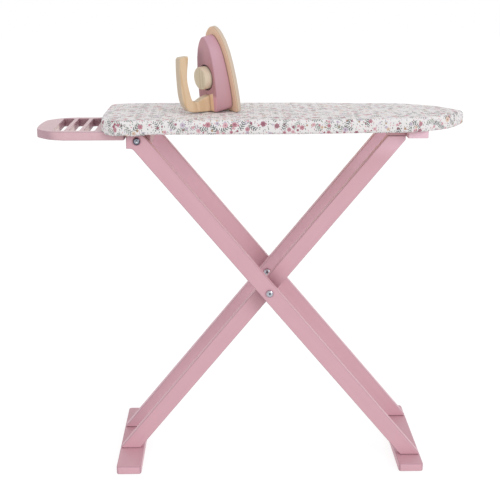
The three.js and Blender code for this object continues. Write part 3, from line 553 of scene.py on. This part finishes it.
def printed_cotton(name):
    """Plain weave with the print on the flat cut, a stitched hem and a painted sheen on its top."""
    shade = Shade(name)
    cut = shade.node("ShaderNodeUVMap", uv_map="cut").outputs[0]
    hem = shade.node("ShaderNodeUVMap", uv_map="hem").outputs[0]
    leafy = [(0.0, slate), (0.4, sage), (0.7, slate), (0.9, pewter)]
    petals = [(0.0, blush), (0.2, rose), (0.34, apricot), (0.54, lilac), (0.74, blush), (0.88, berry)]
    large = [(0.0, rose), (0.34, berry), (0.56, lilac), (0.74, apricot), (0.88, blush)]
    small = [(0.0, berry), (0.25, ochre), (0.45, rose), (0.65, lilac), (0.85, ochre)]
    thin = [(0.0, sage), (0.22, lilac), (0.4, slate), (0.56, blush), (0.7, pewter), (0.88, rose)]
    colour = leaflets(shade, cut, ground, 3.8 * mm, (0.19, 0.53), 2.8 * mm, 1.0 * mm, thin, 0.8)
    colour = dots(shade, cut, colour, 9 * mm, (0.31, 0.17), 1.7 * mm, small, 0.55)
    colour = sprays(shade, cut, colour, 14 * mm, (0.31, 0.43), 13 * mm, leafy, 0.75)
    colour = blossoms(shade, cut, colour, 10 * mm, (0.23, 0.71), 2.8 * mm, 5, petals, 0.48)
    colour = blossoms(shade, cut, colour, 18 * mm, (0.62, 0.31), 4.3 * mm, 6, large, 0.6)
    stitch = hem_stitch(shade, hem)
    colour = shade.mix(stitch, colour, linear(226, 222, 216))
    cloud = shade.noise(cut, 30, 3.0)
    colour = shade.mix(shade.times(cloud, 0.1), colour, linear(220, 214, 212))
    # Painted sheen: the upward faces are paler
    top = shade.times(shade.facing((0, 0, 1), 0.9, 1.0), 0.2)
    colour = shade.mix(top, colour, linear(236, 230, 228))
    shade.feed(shade.shader.inputs["Base Color"], colour)
    u, v = shade.parts(cut)[:2]
    thread = 2 * math.pi / (0.42 * mm)
    warp = shade.math("SINE", shade.times(u, thread))
    weft = shade.math("SINE", shade.times(v, thread))
    weave = shade.times(warp, weft)
    slub = shade.noise(cut, 500, 3.0)
    height = shade.math("MULTIPLY_ADD", weave, 0.3, slub)
    height = shade.math("MULTIPLY_ADD", stitch, 1.5, height)
    shade.bump(height, 0.12 * mm, 0.6)
    shade.feed(shade.shader.inputs["Roughness"], shade.math("MULTIPLY_ADD", slub, 0.1, 0.82))
    shade.shader.inputs["Sheen Weight"].default_value = 0.3
    shade.shader.inputs["Sheen Roughness"].default_value = 0.5
    shade.shader.inputs["Specular IOR Level"].default_value = 0.2
    return shade.material


# Sizes of the covered deck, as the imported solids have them
nose_x = 298 * mm
cover_length = 505.4 * mm
cover_left = nose_x - cover_length
half_depth = 81.5 * mm
front_corner = 30 * mm
back_corner = 12 * mm
front_bow = 3 * mm
back_bow = 0.3 * mm
shoulder = 5 * mm
hem_round = 4 * mm
hem_width = 9.5 * mm
cover_bottom = 498.3 * mm
cover_top = 517.6 * mm
crown = 2 * mm
fabric = 0.8 * mm
nose_lengths = [0.527, 0.62, 0.708, 0.777, 0.836, 0.885, 0.921, 0.949, 0.97, 0.985, 0.995]
nose_depths = [1, 0.963, 0.926, 0.899, 0.862, 0.742, 0.615, 0.478, 0.305, 0.175, 0.085]

# The iron rest's half depth, its inner end with room for the cloth, and the height the cloth keeps above it
rest_half = 61.9 * mm
rest_end = -173 * mm
above_rest = 499.6 * mm

# Where, towards the left end, the gathers start, the top starts to sink and the corners start to hang,
# and the place beside the hinges at which the hem hangs lowest
gathers_start = -135 * mm
sinking_start = -148 * mm
corners_start = -165 * mm
hinges_x = -160 * mm

# The foam pad's underside, the edge of its top and the radius between its side and top
pad_bottom = 511.8 * mm
pad_top = 516.4 * mm
pad_radius = 3.6 * mm


def half_outline(corner_radius, bow):
    """One half of the outline, left end to nose, as if at the front."""
    straight = half_depth - corner_radius
    points = [(cover_left + bow * (i / 5) ** 2, -straight * i / 5) for i in range(5)]
    corner_x = cover_left + bow + corner_radius
    for i in range(6):
        angle = math.pi + math.pi / 2 * i / 6
        x = corner_x + corner_radius * math.cos(angle)
        points.append((x, -straight + corner_radius * math.sin(angle)))
    side_end = cover_left + nose_lengths[0] * cover_length
    points += [(corner_x + (side_end - corner_x) * i / 6, -half_depth) for i in range(6)]
    for a, b in zip(nose_lengths, nose_depths):
        points.append((cover_left + a * cover_length, -b * half_depth))
    return points


def control_points():
    """The covered deck's outline, counter-clockwise from the middle of the left end."""
    front, back = half_outline(front_corner, front_bow), half_outline(back_corner, back_bow)
    return front + [(nose_x, 0.0)] + [(x, -y) for x, y in reversed(back[1:])]


def closed_curve(points, count):
    """Even points on a smooth closed curve: places, inward normals, distances along it and its length."""
    knots = np.array(points)
    steps = np.linspace(0, 1, 40, endpoint=False)[:, None]
    before, after, last = np.roll(knots, 1, 0), np.roll(knots, -1, 0), np.roll(knots, -2, 0)
    dense = []
    for a, b, c, d in zip(before, knots, after, last):
        square = (2 * a - 5 * b + 4 * c - d) * steps**2
        cube = (3 * b - a - 3 * c + d) * steps**3
        dense.append(0.5 * (2 * b + (c - a) * steps + square + cube))
    dense = np.concatenate(dense)
    ring = np.vstack([dense, dense[:1]])
    lengths = np.concatenate([[0], np.cumsum(np.hypot(*np.diff(ring, axis=0).T))])
    at = np.linspace(0, lengths[-1], count, endpoint=False)
    curve = np.stack([np.interp(at, lengths, ring[:, k]) for k in (0, 1)], 1)
    tangent = np.roll(curve, -3, 0) - np.roll(curve, 3, 0)
    tangent /= np.linalg.norm(tangent, axis=1, keepdims=True)
    inward = np.stack([-tangent[:, 1], tangent[:, 0]], 1)
    return curve, inward, at, lengths[-1]


def arc(centre_inset, centre_height, radius, start, end, count):
    """Points (inset, height) on an arc; angle 0 points outwards, 90 up."""
    points = []
    for angle in np.linspace(start, end, count):
        turned = math.radians(angle)
        inset = centre_inset - radius * math.cos(turned)
        points.append((inset, centre_height + radius * math.sin(turned)))
    return points


def skin(name, rings, cuts=None):
    """A mesh from closed rings of points; cuts gives, for each named layer, the points' flat places."""
    count = rings.shape[1]
    flat = rings.reshape(-1, 3)
    faces = []
    for k in range(len(rings) - 1):
        for i in range(count):
            j = (i + 1) % count
            faces.append((k * count + i, k * count + j, (k + 1) * count + j, (k + 1) * count + i))
    mesh = bpy.data.meshes.new(name)
    mesh.from_pydata([tuple(p) for p in flat], [], faces)
    for layer_name, values in (cuts or {}).items():
        layer = mesh.uv_layers.new(name=layer_name)
        ids = np.empty(len(mesh.loops), int)
        mesh.loops.foreach_get("vertex_index", ids)
        layer.data.foreach_set("uv", values.reshape(-1, 2)[ids].astype(np.float32).ravel())
    return mesh


def cleaned(mesh, dropped=None):
    """Takes out the faces for which dropped is true, then doubled points, and turns the faces outwards."""
    work = bmesh.new()
    work.from_mesh(mesh)
    if dropped:
        gone = [face for face in work.faces if dropped(face.calc_center_median())]
        bmesh.ops.delete(work, geom=gone, context="FACES")
    bmesh.ops.remove_doubles(work, verts=work.verts, dist=0.002 * mm)
    bmesh.ops.dissolve_degenerate(work, dist=0.002 * mm, edges=work.edges)
    bmesh.ops.recalc_face_normals(work, faces=work.faces)
    work.to_mesh(mesh)
    work.free()


def over_rest(middle):
    """Whether a face of the cover lies where the rest passes through it."""
    return middle.x < rest_end and abs(middle.y) < rest_half and middle.z < above_rest


def piece(name, mesh, material, body):
    """A smooth piece of one material that rides a body."""
    for polygon in mesh.polygons:
        polygon.use_smooth = True
    mesh.materials.clear()
    mesh.materials.append(material)
    made = bpy.data.objects.new(name, mesh)
    bpy.context.scene.collection.objects.link(made)
    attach(made, body)
    return made


outline, inward, along, girth = closed_curve(control_points(), 900)

# The spacing of the points on the middle line, in which both sides meet
middle_step = 9 * mm


def drawn_in(curve, share):
    """Points moved a share of the way to the middle line on which the crown closes."""
    middle = np.zeros_like(curve)
    middle[:, 0] = np.clip(curve[:, 0], cover_left + half_depth, nose_x - half_depth)
    if share == 1.0:
        middle[:, 0] = np.round(middle[:, 0] / middle_step) * middle_step
    return curve + (middle - curve) * share


def gathers():
    """How much the gathered hem stands proud at each point, most at the corners and round the nose."""
    turn = np.abs(np.cross(np.roll(inward, 4, 0), np.roll(inward, -4, 0))) / (8 * girth / len(along))
    turn = np.convolve(np.tile(turn, 3), np.ones(41) / 41, "same")[len(turn):2 * len(turn)]
    strength = np.clip(turn / 22, 0, 1)
    near_left = np.clip((gathers_start - outline[:, 0]) / (45 * mm), 0, 1)
    strength = np.maximum(strength, 0.75 * near_left)
    strength = 0.14 + 0.86 * strength
    phase = along / (6.8 * mm) * 2 * math.pi
    wobble = 1.7 * np.sin(2 * math.pi * along / (41 * mm)) + 1.1 * np.sin(2 * math.pi * along / (23 * mm) + 1)
    wave = 0.5 + 0.5 * np.sin(phase + wobble)
    uneven = 0.65 + 0.35 * np.sin(2 * math.pi * along / (57 * mm) + 2)
    return strength * wave**1.5 * uneven


def nose_round(height):
    """How much further in the cloth lies round the very nose, above and below its middle."""
    at_nose = np.clip((outline[:, 0] - (nose_x - 30 * mm)) / (30 * mm), 0, 1) ** 1.5
    half = (cover_top - cover_bottom) / 2
    off = (height - cover_bottom - half) / half
    most = 2.4 * mm if off > 0 else 1.1 * mm
    return at_nose * most * min(1.0, abs(off)) ** 3


def sunk(edge):
    """How far the top sinks towards its left end."""
    share = np.clip((sinking_start - edge[:, 0]) / (58 * mm), 0, 1)
    return 1.5 * mm * share**1.5


def hanging():
    """How far the ruffled hem hangs lower beside the hinges and at the left corners."""
    beside = np.clip(1 - np.abs(outline[:, 0] - hinges_x) / (30 * mm), 0, 1)
    beside = beside * beside * (3 - 2 * beside)
    beside = beside * (np.abs(outline[:, 1]) > half_depth - 6 * mm)
    drift = 1.5 * np.sin(2 * math.pi * along / (19 * mm))
    ruffle = 0.78 + 0.22 * np.sin(2 * math.pi * along / (5.2 * mm) + drift)
    corner = np.clip((corners_start - outline[:, 0]) / (15 * mm), 0, 1)
    corner = corner * np.clip((np.abs(outline[:, 1]) - rest_half - 3 * mm) / (5 * mm), 0, 1)
    return np.maximum(2.3 * mm * beside, 1.9 * mm * corner) * ruffle


def make_cover():
    """The printed cover: over the pad, down the sides, rolled under the deck and gathered."""
    profile = [(hem_width - d * mm, cover_bottom) for d in (0, 1.4, 2.8, 4.2)]
    for angle in (-90, -72, -47.5, -24, 0):
        profile += arc(hem_round, cover_bottom + hem_round, hem_round, angle, angle, 1)
    low, high = cover_bottom + hem_round, cover_top - shoulder
    profile += [(0.0, low + (high - low) * s) for s in (0.25, 0.5, 0.75, 1.0)]
    profile += arc(shoulder, cover_top - shoulder, shoulder, 0, 90, 7)[1:]
    shares = (0.04, 0.1, 0.2, 0.33, 0.5, 0.68, 0.85, 1.0)
    proud = gathers()
    still = (np.abs(outline[:, 1]) < rest_half + 3 * mm) & (outline[:, 0] < 0)
    proud = np.where(still, 0.0, proud)
    rings, cut, hem = [], [], []
    reach = sum(math.dist(a, b) for a, b in zip(profile, profile[1:]))
    gone = 0.0
    for k, (inset, height) in enumerate(profile):
        if k:
            gone += math.dist(profile[k - 1], profile[k])
        edge = outline + inward * (inset + nose_round(height))[:, None]
        weight = np.clip((cover_bottom + 11 * mm - height) / (9 * mm), 0, 1) ** 1.4
        near_bottom = np.clip((cover_bottom + 6 * mm - height) / (6 * mm), 0, 1)
        out = proud * weight * 1.1 * mm * (0.25 if height < cover_bottom + 0.01 * mm else 1.0)
        edge = edge - inward * out[:, None]
        down = (proud * 0.75 * mm + hanging()) * near_bottom
        lift = np.clip((height - (cover_top - 9 * mm)) / (9 * mm), 0, 1)
        rings.append(np.column_stack([edge, height - down - sunk(edge) * lift]))
        cut.append(outline + inward * (shoulder - (reach - gone)))
        hem.append(np.column_stack([along, np.full(len(along), gone)]))
    top = outline + inward * shoulder
    for share in shares:
        edge = drawn_in(top, share)
        rise = crown * math.sin(math.pi / 2 * min(1.0, share * 1.15))
        ripple = 0.22 * mm * np.sin(edge[:, 0] * 61 + 2.0 * np.sin(edge[:, 1] * 43))
        ripple = ripple * min(1.0, 4 * share)
        rings.append(np.column_stack([edge, cover_top + rise + ripple - sunk(edge)]))
        cut.append(edge)
        hem.append(np.column_stack([along, np.full(len(along), reach + share)]))
    mesh = skin("cover_fabric", np.array(rings), {"cut": np.array(cut), "hem": np.array(hem)})
    cleaned(mesh, over_rest)
    made = bpy.data.objects.new("cover_cloth_work", mesh)
    bpy.context.scene.collection.objects.link(made)
    thicken = made.modifiers.new("thickness", "SOLIDIFY")
    thicken.thickness = fabric
    thicken.offset = -1.0
    bpy.context.view_layer.update()
    solid = bpy.data.meshes.new_from_object(made.evaluated_get(bpy.context.evaluated_depsgraph_get()))
    bpy.data.objects.remove(made)
    cloth = piece("cover_cloth", solid, printed_cotton("printed_cotton"), "board")
    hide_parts("cover")


def make_pad():
    """The foam under the cover."""
    inset = fabric + 0.6 * mm
    profile = [(inset + 1.2 * mm, pad_bottom), (inset, pad_bottom + 0.6 * mm)]
    profile += arc(inset + pad_radius, pad_top - pad_radius, pad_radius, 0, 90, 6)
    rings = []
    for share in (1.0, 0.5):
        edge = drawn_in(outline + inward * (inset + 1.2 * mm), share)
        rings.append(np.column_stack([edge, np.full(len(along), pad_bottom)]))
    for k, height in profile:
        edge = outline + inward * (k + nose_round(height))[:, None]
        lift = np.clip((height - pad_bottom) / (pad_top - pad_bottom), 0, 1)
        rings.append(np.column_stack([edge, height - sunk(edge) * lift]))
    for share in (0.15, 0.33, 0.6, 1.0):
        edge = drawn_in(outline + inward * (inset + pad_radius), share)
        rise = (crown - 0.3 * mm) * math.sin(math.pi / 2 * min(1.0, share * 1.15))
        rings.append(np.column_stack([edge, pad_top + rise - sunk(edge)]))
    mesh = skin("pad_foam", np.array(rings)[:, ::3])
    cleaned(mesh)
    pad = piece("pad", mesh, foam("foam"), "board")
    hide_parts("foam_pad")


make_cover()
make_pad()

# The iron's own directions: out from its sole to the handle, towards its near side, and from heel to tip
lean, turn = math.radians(10.5), math.radians(33)
iron_out = Vector((-math.cos(lean) * math.cos(turn), -math.cos(lean) * math.sin(turn), -math.sin(lean)))
iron_near = Vector((math.sin(turn), -math.cos(turn), 0.0))
iron_up = Vector((-math.sin(lean) * math.cos(turn), -math.sin(lean) * math.sin(turn), math.cos(lean)))
iron_heel = Vector((-38.2, -5.0, 519.9)) * mm
dial_centre = Vector((-63.698, -21.559, 566.541)) * mm

# Distances from the dial's axis between which its rim darkens, and between which the painted shadow round the
# dial fades
dial_rim = (12.6 * mm, 15.0 * mm)
dial_shadow_reach = (18.4 * mm, 17.2 * mm)


def iron_place(shade):
    """Distances in metres from the heel of the sole: out, near and up."""
    moved = shade.vector("SUBTRACT", shade.place(), tuple(iron_heel))
    return [shade.vector("DOT_PRODUCT", moved, tuple(axis)) for axis in (iron_out, iron_near, iron_up)]


def dial_reach(shade):
    """The distance from the dial's axis."""
    moved = shade.vector("SUBTRACT", shade.place(), tuple(dial_centre))
    near = shade.vector("DOT_PRODUCT", moved, tuple(iron_near))
    up = shade.vector("DOT_PRODUCT", moved, tuple(iron_up))
    return shade.vector("LENGTH", shade.joined(near, up))


def iron_tints_and_painted_shade(shade, coloured):
    """Rosier towards the heel, painted shade on the top and round the dial, bare beside the handle."""
    near, up = iron_place(shade)[1:]
    # The side and the top are one paint: painted shade makes the top darker than the side, and both are
    # darker towards the sole
    side_colours = [(0.0, linear(188, 142, 148)), (0.5, linear(195, 151, 161)), (1.0, linear(198, 154, 170))]
    side = shade.ramp(shade.step(up, 0, 100 * mm), side_colours)
    top = shade.mix(shade.step(up, 60 * mm, 95 * mm), linear(183, 127, 134), linear(199, 147, 157))
    # Painted shade on the top, deepest towards its far edge
    band = shade.times(shade.step(up, 28 * mm, 52 * mm), shade.step(up, 96 * mm, 80 * mm))
    painted_dark_share = shade.times(band, shade.step(near, 7 * mm, -13 * mm))
    top = shade.mix(shade.times(painted_dark_share, 0.6), top, linear(118, 70, 78))
    faces_out = shade.facing(iron_out, 0.6, 0.85)
    tinted = shade.mix(faces_out, side, top)
    tinted = shade.mix(0.2, tinted, coloured)
    low = shade.times(shade.step(up, 30 * mm, 24 * mm), faces_out)
    low = shade.times(low, shade.step(near, 14 * mm, 15 * mm))
    tinted = shade.mix(low, tinted, linear(224, 168, 182))
    strip = shade.times(shade.step(near, 5.4 * mm, 5.9 * mm), shade.step(near, 15 * mm, 14.4 * mm))
    rise = shade.minus(up, shade.times(near, 0.25))
    strip = shade.times(strip, shade.step(rise, 27.6 * mm, 26.8 * mm))
    strip = shade.times(strip, faces_out)
    tinted = shade.mix(strip, tinted, linear(252, 214, 180))
    # Painted shadow round the dial on the body's top
    dial_shadow = shade.times(shade.step(dial_reach(shade), *dial_shadow_reach), faces_out)
    return shade.mix(shade.times(dial_shadow, 0.9), tinted, linear(92, 48, 60))


def sole_tint_and_bounce_light(shade, coloured):
    """Painted bounce light from the pink body warms the face round it; the rim is paler and greyer, with a
    tan line along the face.
    """
    out = iron_place(shade)[0]
    face = shade.mix(0.35, linear(255, 222, 196), coloured)
    rim = shade.mix(shade.step(out, -0.4 * mm, -5.5 * mm), linear(226, 204, 184), linear(208, 196, 184))
    rim = shade.mix(0.2, rim, coloured)
    fold = shade.times(shade.step(out, -2.2 * mm, -0.8 * mm), 0.55)
    rim = shade.mix(fold, rim, linear(176, 136, 108))
    return shade.mix(shade.facing(iron_out, 0.55, 0.8), rim, face)


def handle_painted_light(shade, coloured):
    """Painted light: the outer face and the end of the grip are paler and greyer than its sides."""
    pale = shade.mix(0.3, linear(220, 206, 186), coloured)
    aside = shade.facing(iron_near, 0.75, 0.5)
    return shade.mix(aside, coloured, pale)


def dial_tint(shade, coloured):
    """The rim is a little darker than the face, alike all round, so that the dial looks the same turned."""
    rim = shade.times(shade.step(dial_reach(shade), *dial_rim), 0.5)
    return shade.mix(rim, coloured, linear(222, 200, 180))


# Grain directions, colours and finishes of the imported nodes
outer_grain = (math.cos(math.radians(50.5)), 0, -math.sin(math.radians(50.5)))
inner_grain = (math.cos(math.radians(51.0)), 0, math.sin(math.radians(51.0)))
across_grain = (0, 1, 0)
dial_up = Vector((-0.835, -0.542, -0.093)).cross(Vector((0.542, -0.835, 0.0)))

deck_light, deck_dark = linear(214, 182, 138), linear(184, 144, 98)
handle_light, handle_dark = linear(230, 204, 172), linear(207, 174, 135)
pale_light, pale_dark = linear(240, 230, 206), linear(214, 198, 168)
tan_light, tan_dark = linear(232, 200, 160), linear(205, 164, 120)
inner_coat = {"shape": head_painted_light, "gap": 40 * mm, "closed": (0.1, 0.6), "depth": 0.55, "inside": at_crossing}
rest_coat = {"shape": rest_painted_light, "closed": (0.02, 0.4), "depth": 0.9, "inside": within_slots}
feet_coat = {"shape": feet_painted_shade, "closed": (0.6, 1.0), "depth": 0.3}
finishes = {
    "paint_outer": painted("paint_outer", outer_grain, gap=30 * mm, depth=0.35),
    "paint_back": painted("paint_back", outer_grain, shape=back_painted_light, gap=30 * mm, depth=0.3),
    "paint_inner": painted("paint_inner", inner_grain, **inner_coat),
    # Painted light: a paler copy of the inner legs' paint for the back inner leg
    "paint_inner_back": painted("paint_inner_back", inner_grain, linear(229, 187, 199), **inner_coat),
    "paint_across": painted("paint_across", across_grain),
    # Painted light: a paler copy of the paint for the stop block under the deck
    "paint_block": painted("paint_block", across_grain, linear(250, 214, 228)),
    "paint_feet": painted("paint_feet", across_grain, linear(230, 182, 193), **feet_coat),
    "paint_rest": painted("paint_rest", across_grain, linear(227, 190, 198), **rest_coat),
    "paint_iron": painted("paint_iron", iron_up, shape=iron_tints_and_painted_shade, gap=6 * mm, closed=(0.45, 1.0), edges=0),
    "deck_wood": bare_wood("deck_wood", (1, 0, 0), deck_light, deck_dark, (0.01, 0.42)),
    "sole_wood": bare_wood("sole_wood", iron_up, tan_light, tan_dark, (-0.02, 0.03), shape=sole_tint_and_bounce_light),
    "handle_wood": bare_wood(
        "handle_wood", iron_up, handle_light, handle_dark, (0.05, 0.09), shape=handle_painted_light,
    ),
    "dial_wood": bare_wood("dial_wood", tuple(dial_up), pale_light, pale_dark, (0.03, 0.02), shape=dial_tint),
    "hinge_steel": steel("hinge_steel", hinge_place),
    "pivot_steel": steel("pivot_steel", pivot_place, strong=False, painted_dark_share=0.35),
    "screw_steel": steel("screw_steel"),
}


def finish_of(name):
    """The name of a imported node's finish."""
    if name == "outer_leg_back":
        return "paint_back"
    if name.startswith("outer_leg"):
        return "paint_outer"
    if name == "inner_leg_back":
        return "paint_inner_back"
    if name.startswith("inner_leg"):
        return "paint_inner"
    if name.startswith("hinge_bolt"):
        return "hinge_steel"
    if name.startswith(("pivot_bolt", "sleeve_nut")):
        return "pivot_steel"
    if "_screw" in name:
        return "screw_steel"
    return {
        "deck_panel": "deck_wood",
        "rest_plank": "paint_rest",
        "stop_block": "paint_block",
        "left_foot": "paint_feet",
        "right_foot": "paint_feet",
        "iron_body": "paint_iron",
        "iron_sole": "sole_wood",
        "iron_handle": "handle_wood",
        "handle_dowel_lower": "dial_wood",
        "handle_dowel_upper": "dial_wood",
        "iron_dial": "dial_wood",
        "dial_pin": "handle_wood",
    }.get(name, "paint_across")


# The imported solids, apart from the two that the soft pieces stand for, with smoothed round-overs
for name, node in nodes.items():
    if name in ("cover", "foam_pad"):
        continue
    mesh = node.data
    if "custom_normal" in mesh.attributes:
        mesh.attributes.remove(mesh.attributes["custom_normal"])
    for polygon in mesh.polygons:
        polygon.use_smooth = True
    weld = node.modifiers.new("weld", "WELD")
    weld.merge_threshold = 0.005 * mm
    split = node.modifiers.new("split", "EDGE_SPLIT")
    split.split_angle = math.radians(50)
    split.use_edge_sharp = False
    weighted = node.modifiers.new("weighted", "WEIGHTED_NORMAL")
    weighted.weight = 50
    mesh.materials.clear()
    mesh.materials.append(finishes[finish_of(name)])

# Brightness of the sky, as far as it lights the pieces, and of the lamp
sky_level = 0.756
key_level = 0.75


def seen_directly(tree):
    """1 for rays from the camera, off a gloss or through glass, 0 for light between matt surfaces."""
    path = tree.nodes.new("ShaderNodeLightPath")
    seen = path.outputs["Is Camera Ray"]
    for other in ("Is Glossy Ray", "Is Transmission Ray"):
        largest = tree.nodes.new("ShaderNodeMath")
        largest.operation = "MAXIMUM"
        tree.links.new(seen, largest.inputs[0])
        tree.links.new(path.outputs[other], largest.inputs[1])
        seen = largest.outputs[0]
    return seen


def make_floor():
    """A wide floor: near white with a soft shadow where it is seen, light grey for what it throws back."""
    mesh = bpy.data.meshes.new("floor")
    work = bmesh.new()
    bmesh.ops.create_circle(work, cap_ends=True, radius=8, segments=96)
    bmesh.ops.translate(work, vec=(0, 0, -0.2 * mm), verts=work.verts)
    work.to_mesh(mesh)
    work.free()
    floor = bpy.data.objects.new("floor", mesh)
    bpy.context.scene.collection.objects.link(floor)
    material = bpy.data.materials.new("floor")
    material.use_nodes = True
    tree = material.node_tree
    tree.nodes.clear()
    link = tree.links.new
    plain = tree.nodes.new("ShaderNodeBsdfDiffuse")
    plain.inputs["Color"].default_value = (0.84, 0.83, 0.82, 1)
    shadowed = tree.nodes.new("ShaderNodeBsdfDiffuse")
    shadowed.inputs["Color"].default_value = (0.3, 0.3, 0.3, 1)
    glow = tree.nodes.new("ShaderNodeEmission")
    glow.inputs["Strength"].default_value = 0.8
    added = tree.nodes.new("ShaderNodeAddShader")
    link(shadowed.outputs[0], added.inputs[0])
    link(glow.outputs[0], added.inputs[1])
    mixed = tree.nodes.new("ShaderNodeMixShader")
    link(seen_directly(tree), mixed.inputs[0])
    link(plain.outputs[0], mixed.inputs[1])
    link(added.outputs[0], mixed.inputs[2])
    link(mixed.outputs[0], tree.nodes.new("ShaderNodeOutputMaterial").inputs["Surface"])
    mesh.materials.append(material)


def make_lights():
    """A sky that is plain white where it is seen, and a broad lamp from the front right."""
    world = bpy.data.worlds.new("studio")
    bpy.context.scene.world = world
    world.use_nodes = True
    tree = world.node_tree
    background = tree.nodes["Background"]
    background.inputs["Color"].default_value = (1, 1, 1, 1)
    level = tree.nodes.new("ShaderNodeMath")
    level.operation = "MULTIPLY_ADD"
    tree.links.new(seen_directly(tree), level.inputs[0])
    level.inputs[1].default_value = 1 - sky_level
    level.inputs[2].default_value = sky_level
    tree.links.new(level.outputs[0], background.inputs["Strength"])
    sun = bpy.data.lights.new("key", "SUN")
    sun.energy = key_level
    sun.angle = math.radians(28)
    lamp = bpy.data.objects.new("key", sun)
    lamp.rotation_euler = (math.radians(65), 0, math.radians(38))
    bpy.context.scene.collection.objects.link(lamp)


make_floor()
make_lights()
bpy.context.scene.view_settings.view_transform = "Standard"

bpy.context.view_layer.update()
